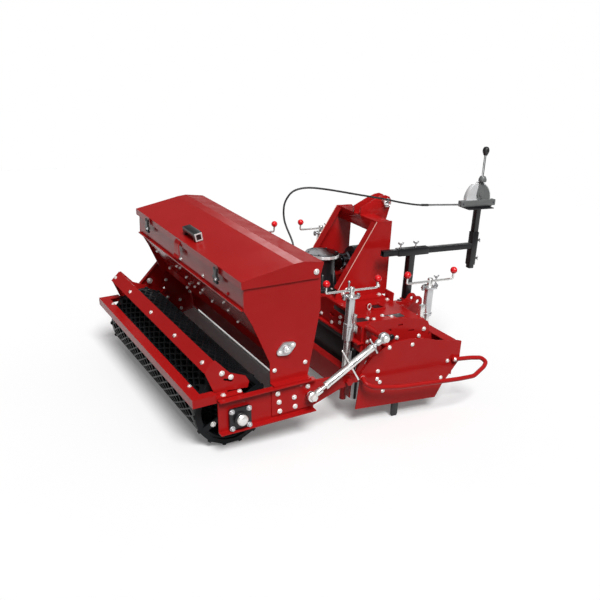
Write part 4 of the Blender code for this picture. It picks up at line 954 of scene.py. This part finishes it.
def roller_cage():
    """Drum of diamond mesh: flat bars on edge that cross all along it, and a hoop at each end."""
    around = 28
    outer = 0.173
    inner = 0.14
    half = 0.608
    hoop = 0.011
    span = 2 * (half - hoop) - 0.004
    along = int(span / 0.0365) - 1
    along -= 1 - along % 2
    column = span / (along + 1)
    pitch = 2 * math.pi / around
    half_x = column - 0.0068
    half_t = pitch / 2 - 0.004 / outer
    bm = bmesh.new()
    origin = Vector((0, *ROLLER))

    def vertex(x, angle, radius):
        return bm.verts.new(origin + Vector((x, radius * math.cos(angle), radius * math.sin(angle))))

    def wall(loop, inner_loop):
        for i in range(len(loop)):
            k = (i + 1) % len(loop)
            bm.faces.new((loop[i], loop[k], inner_loop[k], inner_loop[i]))

    shells = []
    for radius in (outer, inner):
        holes = {}
        for j in range(along):
            x = (j - (along - 1) / 2) * column
            for i in range(around):
                t = (i + 0.5 * (j % 2)) * pitch
                holes[i, j] = {"west": vertex(x - half_x, t, radius), "east": vertex(x + half_x, t, radius),
                               "down": vertex(x, t - half_t, radius), "up": vertex(x, t + half_t, radius)}
        rings = {}
        for side in (-1, 1):
            j = 0 if side < 0 else along - 1
            rings[side] = [(vertex(side * half, (i + 0.5 * (j % 2)) * pitch, radius),
                            vertex(side * half, (i + 0.5 * (j % 2) + 0.5) * pitch, radius))
                            for i in range(around)]
        shells.append((holes, rings))
    for holes, rings in shells:
        for j in range(along):
            shift = 0 if j % 2 else -1
            for i in range(around):
                here = holes[i, j]
                over = holes[(i + 1) % around, j]
                high = (i + shift + 1) % around
                low = (i + shift) % around
                if 0 < j < along - 1:
                    bm.faces.new((here["up"], holes[high, j - 1]["east"], over["down"],
                                  holes[high, j + 1]["west"]))
                if j + 1 < along:
                    bm.faces.new((here["up"], here["east"], holes[high, j + 1]["down"],
                                  holes[high, j + 1]["west"]))
                    bm.faces.new((here["east"], here["down"], holes[low, j + 1]["west"],
                                  holes[low, j + 1]["up"]))
        for side, far, j in ((-1, "west", 0), (1, "east", along - 1)):
            shift = 1 if j % 2 else 0
            for i in range(around):
                tip, gap = rings[side][i]
                below = rings[side][(i - 1) % around][1]
                here = holes[i, j]
                over = holes[(i + 1) % around, j]
                inward = holes[(i + shift) % around, j - side]
                bm.faces.new((here["down"], below, tip, here[far]))
                bm.faces.new((here[far], tip, gap, here["up"]))
                bm.faces.new((here["up"], gap, over["down"]))
                bm.faces.new((here["up"], over["down"], inward[far]))
    (outside, out_rings), (inside, in_rings) = shells
    for key in outside:
        corners = ("west", "down", "east", "up")
        wall([outside[key][c] for c in corners], [inside[key][c] for c in corners])
    for side in (-1, 1):
        wall([v for pair in out_rings[side] for v in pair], [v for pair in in_rings[side] for v in pair])
    bmesh.ops.recalc_face_normals(bm, faces=bm.faces)
    piece("roller_mesh", [bm], MESH_BLACK, "roller_cage", SEEDER, bevel=0.0005, solid=True, smooth=30)


roller_cage()
for sign, ending in SIDES:
    refined("roller_end_" + ending, MESH_BLACK)


def flange_bearing(sign, ending):
    y, z = ROLLER
    flat = 0.042
    node = "roller_bearing_" + ending

    def tube(near, far, radius, bore=0.0178, count=40, chamfer=0.0006):
        return pipe((sign * near, y, z), (sign * far, y, z), radius, bore, count, chamfer)

    outline = []
    for a, b, start in ((flat, -flat, -90), (flat, flat, 0), (-flat, flat, 90), (-flat, -flat, 180)):
        outline += arc(y + a, z + b, 0.01, start, start + 90, 6)
    plate = prism(outline, *sorted((sign * 0.705, sign * 0.7165)))
    parts = [plate, tube(0.7, 0.733, 0.034, count=48, chamfer=0.002), tube(0.6984, 0.708, 0.046)]
    piece(node + "_flange", parts, BLACK, node, SEEDER, bevel=0.0014, solid=True)
    piece(node + "_race", [tube(0.731, 0.737, 0.0255)], ZINC, "roller_end_" + ending, SEEDER)
    if sign > 0:
        tip = lathe([(0.0245, 0.7372), (0.0257, 0.7385), (0.025, 0.7425), (0.0215, 0.747), (0.015, 0.75),
                     (0.0075, 0.7514), (0.0, 0.7518)], (0, y, z), RIGHT, 40)
        piece("axle_tip", [tip], BOLT_ZINC, "roller_end_right", SEEDER)
    spots = [(y + a, z + b) for a in (-0.041, 0.041) for b in (-0.041, 0.041)]
    bolts(node + "_bolts", node, on_side(sign, 0.7168, 0.0098, spots), SEEDER, 0.8, CASTING)


for hand in SIDES:
    flange_bearing(*hand)


# Hopper fittings

def feed_shaft():
    y, z = FEED
    shaft = lathe([(0.011, -0.76), (0.011, -0.753), (0.032, -0.752), (0.032, -0.747), (0.011, -0.746),
                   (0.011, 0.707), (0.0098, 0.708)], (0, y, z), RIGHT, 32)
    piece("metering_shaft", [shaft], ZINC, "feed_shaft", SEEDER, solid=True)
    outline = []
    for t in turns(12):
        outline += [(y + 0.027 * math.cos(t + a), z + 0.027 * math.sin(t + a)) for a in (-0.13, 0.13)]
        outline.append((y + 0.0205 * math.cos(t + math.pi / 12), z + 0.0205 * math.sin(t + math.pi / 12)))
    wheels = []
    for k in range(8):
        x = -0.56 + 0.16 * k
        wheels.append(prism(outline, x - 0.02, x + 0.02))
        wheels.append(pipe((x - 0.024, y, z), (x - 0.02, y, z), 0.016, 0.0105, 24))
    piece("seed_wheels", wheels, GRIP, "feed_shaft", SEEDER)


def feed_bearing():
    y, z = FEED
    face = 0.6769
    c = math.cos(math.radians(20))
    s = math.sin(math.radians(20))

    def tilted(u, v):
        return (y + u * c - v * s, z + u * s + v * c)

    ears = []
    for middle, radius, start, end in ((0.034, 0.015, -60, 60), (0, 0.031, 62, 118),
                                       (-0.034, 0.015, 120, 240), (0, 0.031, 242, 298)):
        ears += arc(middle, 0, radius, start, end, 10)
    plate = prism([tilted(*p) for p in ears], face, face + 0.0105)
    hub = pipe((face + 0.004, y, z), (face + 0.0205, y, z), 0.0215, 0.0125, 40, 0.0018)
    piece("feed_flange", [plate, hub], CASTING, "feed_bearing", SEEDER, bevel=0.0016, solid=True)
    race = pipe((face + 0.012, y, z), (face + 0.0225, y, z), 0.015, 0.0111, 32)
    piece("feed_race", [race], CHROME, "feed_shaft", SEEDER)
    ends = [tilted(0.034, 0), tilted(-0.034, 0)]
    bolts("feed_bolts", "feed_bearing", on_side(1, face + 0.0105, 0.0075, ends), SEEDER)


def lid_handle():
    """Black bridge handle with a pale frame at its near end."""
    slope = math.atan2(0.813 - 0.772, 0.384 - 0.135)
    height = 0.772 + (0.384 - 0.325) * math.tan(slope)
    place = SEEDER @ Matrix.Translation((0.012, -0.325, height)) @ Matrix.Rotation(slope, 4, "X")
    profile = [(-0.08, 0.0008)] + arc(-0.068, 0.033, 0.012, 180, 90, 5)
    profile += arc(0.068, 0.033, 0.012, 90, 0, 5)
    profile += [(0.08, 0.0008), (0.057, 0.0008), (0.048, 0.019), (0.044, 0.0225), (-0.044, 0.0225),
                (-0.048, 0.019), (-0.057, 0.0008)]
    piece("handle_bridge", [prism(profile, -0.02, 0.02, "Y")], GRIP, "lid_handle", place, bevel=0.0025,
          solid=True)
    ring = prism([(-0.0188, 0.003), (0.0188, 0.003), (0.0188, 0.0425), (-0.0188, 0.0425)], 0.077, 0.0812, "X",
                 [[(-0.012, 0.0095), (0.012, 0.0095), (0.012, 0.0355), (-0.012, 0.0355)]])
    piece("handle_frame", [ring], PALE, "lid_handle", place, bevel=0.0012)
    plug = box((0.077, -0.0118, 0.01), (0.0798, 0.0118, 0.035))
    piece("handle_plug", [plug], GREY, "lid_handle", place, bevel=0.001)


def latch(x, ending):
    node = "lid_latch_" + ending
    half = [(0.01, 0.7), (0.014, 0.709), (0.031, 0.716), (0.027, 0.726), (0.014, 0.729), (0.013, 0.74),
            (0.021, 0.766), (0.013, 0.768)]
    outline = [(x - a, z) for a, z in half] + [(x, 0.756)] + [(x + a, z) for a, z in reversed(half)]
    parts = [prism(outline, -0.3998, -0.3902, "Y"),
             rod((x - 0.018, -0.395, 0.7), (x + 0.018, -0.395, 0.7), 0.0068, 24, 0.0008)]
    piece(node + "_arm", parts, GRIP, node, SEEDER, bevel=0.0012, solid=True)
    stud = lathe([(0.0075, 0.0), (0.0075, 0.002), (0.0045, 0.0042), (0.0, 0.005)],
                 (x + 0.012, -0.3998, 0.719), BACK, 24)
    piece(node + "_stud", [stud], CHROME, node, SEEDER)


def hinge_strip():
    """Strip that closes the gap between the hopper's front wall and the lid, inside the lid's swing."""
    sheet = [(-0.006, 0.7445), (-0.006, 0.785), (-0.013, 0.7905), (-0.0145446, 0.7885342),
             (-0.0085, 0.7837849), (-0.0085, 0.7445)]
    piece("hopper_hinge_strip", [prism(sheet, -0.671, 0.671)], RED, "hopper_trough", SEEDER, bevel=0.0004)


feed_shaft()
feed_bearing()
lid_handle()
hinge_strip()
latch(0.44, "right")
latch(-0.47, "left")


# Trough fittings and bolts

def side_box(sign, near, far, low, high):
    """Box between two distances from the machine's middle; low and high are its (y, z)."""
    left, right = sorted((sign * near, sign * far))
    return box((left, *low), (right, *high))


def trough_fittings(sign, ending):
    """Black plates painted as the shade inside openings, with rim, plate and ring on the gear trough."""
    top = TROUGH_TOP + 0.0002
    # Thin black boxes flush with the trough: painted shade where openings would be dark inside
    painted_hole_shade = [side_box(sign, 0.335, 0.445, (0.244, 0.4712), (0.2515, 0.508)),
               side_box(sign, 0.342, 0.402, (0.445, top), (0.505, 0.4712)),
               side_box(sign, 0.478, 0.525, (0.262, top), (0.33, 0.4712))]
    piece("trough_hole_shade_" + ending, painted_hole_shade, GRIP, "gear_trough", bevel=0.0004)

    def frame_line(low, high, front, back):
        return [(sign * low, front), (sign * high, front), (sign * high, back), (sign * low, back)]

    rim = prism(frame_line(0.335, 0.409, 0.438, 0.512), TROUGH_TOP + 0.0001, 0.479, "Z",
                [frame_line(0.342, 0.402, 0.445, 0.505)])
    piece("trough_rim_" + ending, [rim], RED, "gear_trough", bevel=0.0008)
    plate = side_box(sign, 0.492, 0.535, (0.44, top), (0.54, 0.4735))
    piece("trough_plate_" + ending, [plate], STEEL, "gear_trough", bevel=0.0008)
    x = sign * 0.393
    ring = swept([Vector((x, 0.42 + 0.0105 * math.cos(t), 0.488 + 0.015 * math.sin(t))) for t in turns(28)],
                 0.0026, 10, closed=True)
    stem = rod((x, 0.42, top), (x, 0.42, 0.475), 0.007, 20)
    piece("trough_ring_" + ending, [ring, stem], BOLT_ZINC, "gear_trough", smooth=60)


def rubber_flap():
    """Black flap behind the rotors, hung from the trough's rear flange."""
    flap = box((-0.52, 0.2405, 0.215), (0.52, 0.2445, 0.3845))
    clamp = box((-0.52, 0.2385, 0.36), (0.52, 0.2404, 0.384))
    piece("rubber_flap", [flap, clamp], GRIP, "gear_trough", bevel=0.0008)


def seeder_bolts():
    def add(name, node, rows, **more):
        bolts(name, node, rows, SEEDER, **more)

    slanted = ((-0.6, -0.307, 0.538), (-0.289, -0.31, 0.543), (-0.209, -0.321, 0.56), (-0.257, -0.273, 0.485),
               (0.021, -0.313, 0.547), (-0.212, -0.245, 0.442), (-0.006, -0.282, 0.498),
               (0.012, -0.241, 0.435), (0.335, -0.317, 0.554), (0.294, -0.278, 0.493), (0.319, -0.241, 0.435))
    rows = [(*spot, SLANT, 0.0072) for spot in slanted]
    rows += on_wall(-0.238, 0.0078, ((-0.604, 0.428), (-0.301, 0.429), (-0.344, 0.394), (-0.151, 0.427)))
    rows += on_wall(-0.3725, 0.007, ((-0.046, 0.664), (0.238, 0.664)))
    add("hopper_rear_bolts", "hopper_trough", rows, material=PLATED_BOLT)
    rows = on_wall(-0.3725, 0.007, [(0.516, 0.665)]) + on_wall(-0.088, 0.007, [(-0.635, 0.204)])
    add("hopper_painted_bolts", "hopper_trough", rows, material=RED)
    spots = ((-0.232, 0.33), (-0.077, 0.336))
    add("hopper_side_bolts", "hopper_side_right",
        on_side(1, HOPPER_FACE, 0.008, spots) + on_side(1, 0.685, 0.0105, [LID_PIVOT]))
    add("hopper_left_bolts", "hopper_side_left",
        on_side(-1, HOPPER_FACE, 0.008, spots) + [(-0.672, -0.244, 0.337, RIGHT, 0.0075)]
        + on_side(-1, 0.685, 0.0105, [LID_PIVOT]))
    spots = ((-0.478, 0.369), (-0.437, 0.342))
    add("scraper_bolts", "scraper",
        [(x, -0.541, 0.41, BAR, 0.0082) for x in (-0.64, -0.384, -0.055, 0.273, 0.603)]
        + on_side(1, 0.6635, 0.0098, spots) + on_side(-1, 0.6635, 0.0098, spots))
    add("frame_bolts", "roller_frame",
        on_top(0.29, 0.0075, ((-0.562, -0.59), (0.563, -0.59)))
        + on_top(0.272, 0.0092, ((0.68, -0.482), (0.68, -0.405), (-0.68, -0.482), (-0.68, -0.405))))
    add("rail_bolts_right", "side_rail_right",
        on_side(1, RAIL_FACE, 0.009,
                ((-0.232, 0.227), (-0.226, 0.184), (-0.223, 0.138), (-0.149, 0.189), (-0.145, 0.142),
                 (-0.079, 0.226))), head=0.72)
    inner = ((-0.095, 0.232), (-0.233, 0.221), (-0.158, 0.192), (-0.153, 0.138))
    add("rail_bolts_left", "side_rail_left",
        on_side(-1, RAIL_FACE, 0.009, ((-0.232, 0.227), (-0.223, 0.138), (-0.145, 0.142), (-0.079, 0.226)))
        + [(-0.692, y, z, RIGHT, 0.0082) for y, z in inner] + [(-0.742, -0.318, 0.322, RIGHT, 0.013)])
    add("wheel_bolts", "roller_end_right", on_side(1, 0.6165, 0.01, [(-0.51, 0.107)]))


def harrow_bolts():
    bolts("panel_bolts", "side_panel_right",
          on_side(1, PANEL_FACE, 0.0078,
                  ((0.299, 0.275), (0.299, 0.234), (0.316, 0.215), (0.339, 0.165), (0.721, 0.265),
                   (0.691, 0.178), (0.488, 0.386), (0.353, 0.389)))
          + on_side(1, HOOP_FACE, 0.0085, HOOP_FEET))
    bolts("panel_bolts_left", "side_panel_left",
          on_side(-1, PANEL_FACE, 0.0078,
                  ((0.299, 0.275), (0.339, 0.165), (0.721, 0.265), (0.691, 0.178), (0.488, 0.386)))
          + on_side(-1, HOOP_FACE, 0.0085, HOOP_FEET))
    bolts("bracket_bolts", "side_bracket_right",
          on_side(1, BRACKET_FACE, 0.0088, ((0.606, 0.425), (0.579, 0.391), (0.445, 0.4), (0.274, 0.402)))
          + on_top(0.5015, 0.008, ((0.586, 0.317), (0.586, 0.42))))
    bolts("bracket_bolts_left", "side_bracket_left",
          on_side(-1, BRACKET_FACE, 0.0088, ((0.606, 0.425), (0.579, 0.391), (0.274, 0.402)))
          + on_top(0.5015, 0.008, [(-0.586, 0.317)]))
    bolts("trough_bolts", "gear_trough",
          on_wall(0.2425, 0.0082,
                  ((0.228, 0.418), (0.332, 0.405), (0.408, 0.458), (0.407, 0.43), (-0.228, 0.418),
                   (-0.332, 0.405), (-0.408, 0.458), (0.0, 0.44)))
          + on_top(TROUGH_TOP, 0.009,
                   ((0.489, 0.436), (0.498, 0.343), (-0.489, 0.436), (0.287, 0.604), (-0.287, 0.604))))
    webs = ((0.4, 0.52), (0.6, 0.52))
    bolts("tower_bolts", "tower_plate_right",
          on_top(0.4804, 0.0098, ((0.23, 0.4), (0.23, 0.59))) + on_side(1, 0.201, 0.0098, [(0.38, 0.5)])
          + on_side(1, 0.201, 0.008, webs))
    bolts("tower_bolts_left", "tower_plate_left",
          on_top(0.4804, 0.0098, ((-0.23, 0.4), (-0.23, 0.59))) + on_side(-1, 0.201, 0.008, webs))
    for sign, name in ((1, "hitch_bolts"), (-1, "hitch_bolts_left")):
        spots = [(sign * x, z) for x, z in ((0.253, 0.5), (0.296, 0.5), (0.376, 0.425))]
        bolts(name, "hitch_lugs_right" if sign > 0 else "hitch_lugs_left",
              on_wall(0.6285, 0.008, spots, AHEAD))


for hand in SIDES:
    trough_fittings(*hand)
rubber_flap()
seeder_bolts()
harrow_bolts()


# Stand, lights and surroundings

def patch(tree, place, direction, inner, outer, strength):
    """A soft bright spot of sky: strength inside the inner cosine, none past the outer."""
    aim = Vector(direction).normalized()
    dot = add_node(tree, "ShaderNodeVectorMath", {0: place, 1: aim}, operation="DOT_PRODUCT")
    return mapped(tree, dot.outputs["Value"], 0.0, strength, outer, inner)


def surroundings():
    """White to the camera, soft grey as light, and a studio with two soft boxes in the mirror rays."""
    world = bpy.data.worlds.new("studio")
    bpy.context.scene.world = world
    world.use_nodes = True
    tree = world.node_tree
    tree.nodes.clear()

    def add(kind, inputs=(), **settings):
        return add_node(tree, kind, inputs, **settings).outputs

    place = add("ShaderNodeTexCoord")["Generated"]
    ramp = add_node(tree, "ShaderNodeValToRGB", {"Fac": add("ShaderNodeSeparateXYZ", {0: place})["Z"]})
    stops = ramp.color_ramp.elements
    stops[0].color = (0.12, 0.12, 0.12, 1)
    stops[1].color = (0.85, 0.85, 0.85, 1)
    for position, grey in ((0.02, 0.12), (0.35, 0.12), (0.55, 0.16), (0.75, 0.6)):
        stops.new(position).color = (grey, grey, grey, 1)
    bright = ramp.outputs["Color"]
    for soft_box in (((-0.814, 0.437, 0.383), 0.998, 0.988, 3.2), ((0.75, -0.62, 0.25), 0.95, 0.82, 1.1)):
        glow = patch(tree, place, *soft_box)
        bright = add("ShaderNodeVectorMath", {0: bright, 1: glow}, operation="ADD")["Vector"]
    soft = add("ShaderNodeBackground", {"Color": (0.99, 0.99, 1.0, 1), "Strength": 0.21})[0]
    seen = add("ShaderNodeBackground", {"Color": (1, 1, 1, 1), "Strength": 1.0})[0]
    mirror = add("ShaderNodeBackground", {"Color": bright})[0]
    rays = add("ShaderNodeLightPath")
    clear = add("ShaderNodeMath", {0: rays["Is Camera Ray"], 1: rays["Is Transmission Ray"]},
                operation="MAXIMUM")[0]
    unseen = add("ShaderNodeMixShader", {0: rays["Is Glossy Ray"], 1: soft, 2: mirror})[0]
    sky = add("ShaderNodeMixShader", {0: clear, 1: unseen, 2: seen})[0]
    add("ShaderNodeOutputWorld", {"Surface": sky})


def key_light():
    sun = bpy.data.lights.new("key", "SUN")
    sun.energy = 3.03
    sun.angle = math.radians(24)
    key = new_object("key", sun)
    key.rotation_euler = Vector((0.607, -0.15, 0.78)).to_track_quat("Z", "Y").to_euler()


def white_floor():
    """Floor that is white to the camera and in mirrors, and grey to the light that it throws back."""
    bm = bmesh.new()
    bmesh.ops.create_circle(bm, cap_ends=True, segments=96, radius=6.0)
    floor = placed("floor", bm)
    floor.location.z = -0.0006
    made, tree, shader, place = finish_nodes("floor_white", 0.9, Specular_IOR_Level=0.0,
                                             Emission_Color=(1, 1, 1, 1))
    rays = add_node(tree, "ShaderNodeLightPath").outputs
    lit = rays["Is Camera Ray"]
    for kind in ("Is Glossy Ray", "Is Transmission Ray"):
        lit = add_node(tree, "ShaderNodeMath", {0: lit, 1: rays[kind]}, operation="MAXIMUM").outputs[0]
    patches = mapped(tree, noise(tree, place, 0.6), 0.97, 1.0, 0, 1)
    tone = mapped(tree, lit, 0.14, 0.93, 0, 1)
    shade = add_node(tree, "ShaderNodeMath", {0: tone, 1: patches}, operation="MULTIPLY")
    tree.links.new(shade.outputs[0], shader.inputs["Base Color"])
    tree.links.new(mapped(tree, lit, 0.0, 0.13, 0, 1), shader.inputs["Emission Strength"])
    floor.data.materials.append(made)


surroundings()
key_light()
white_floor()
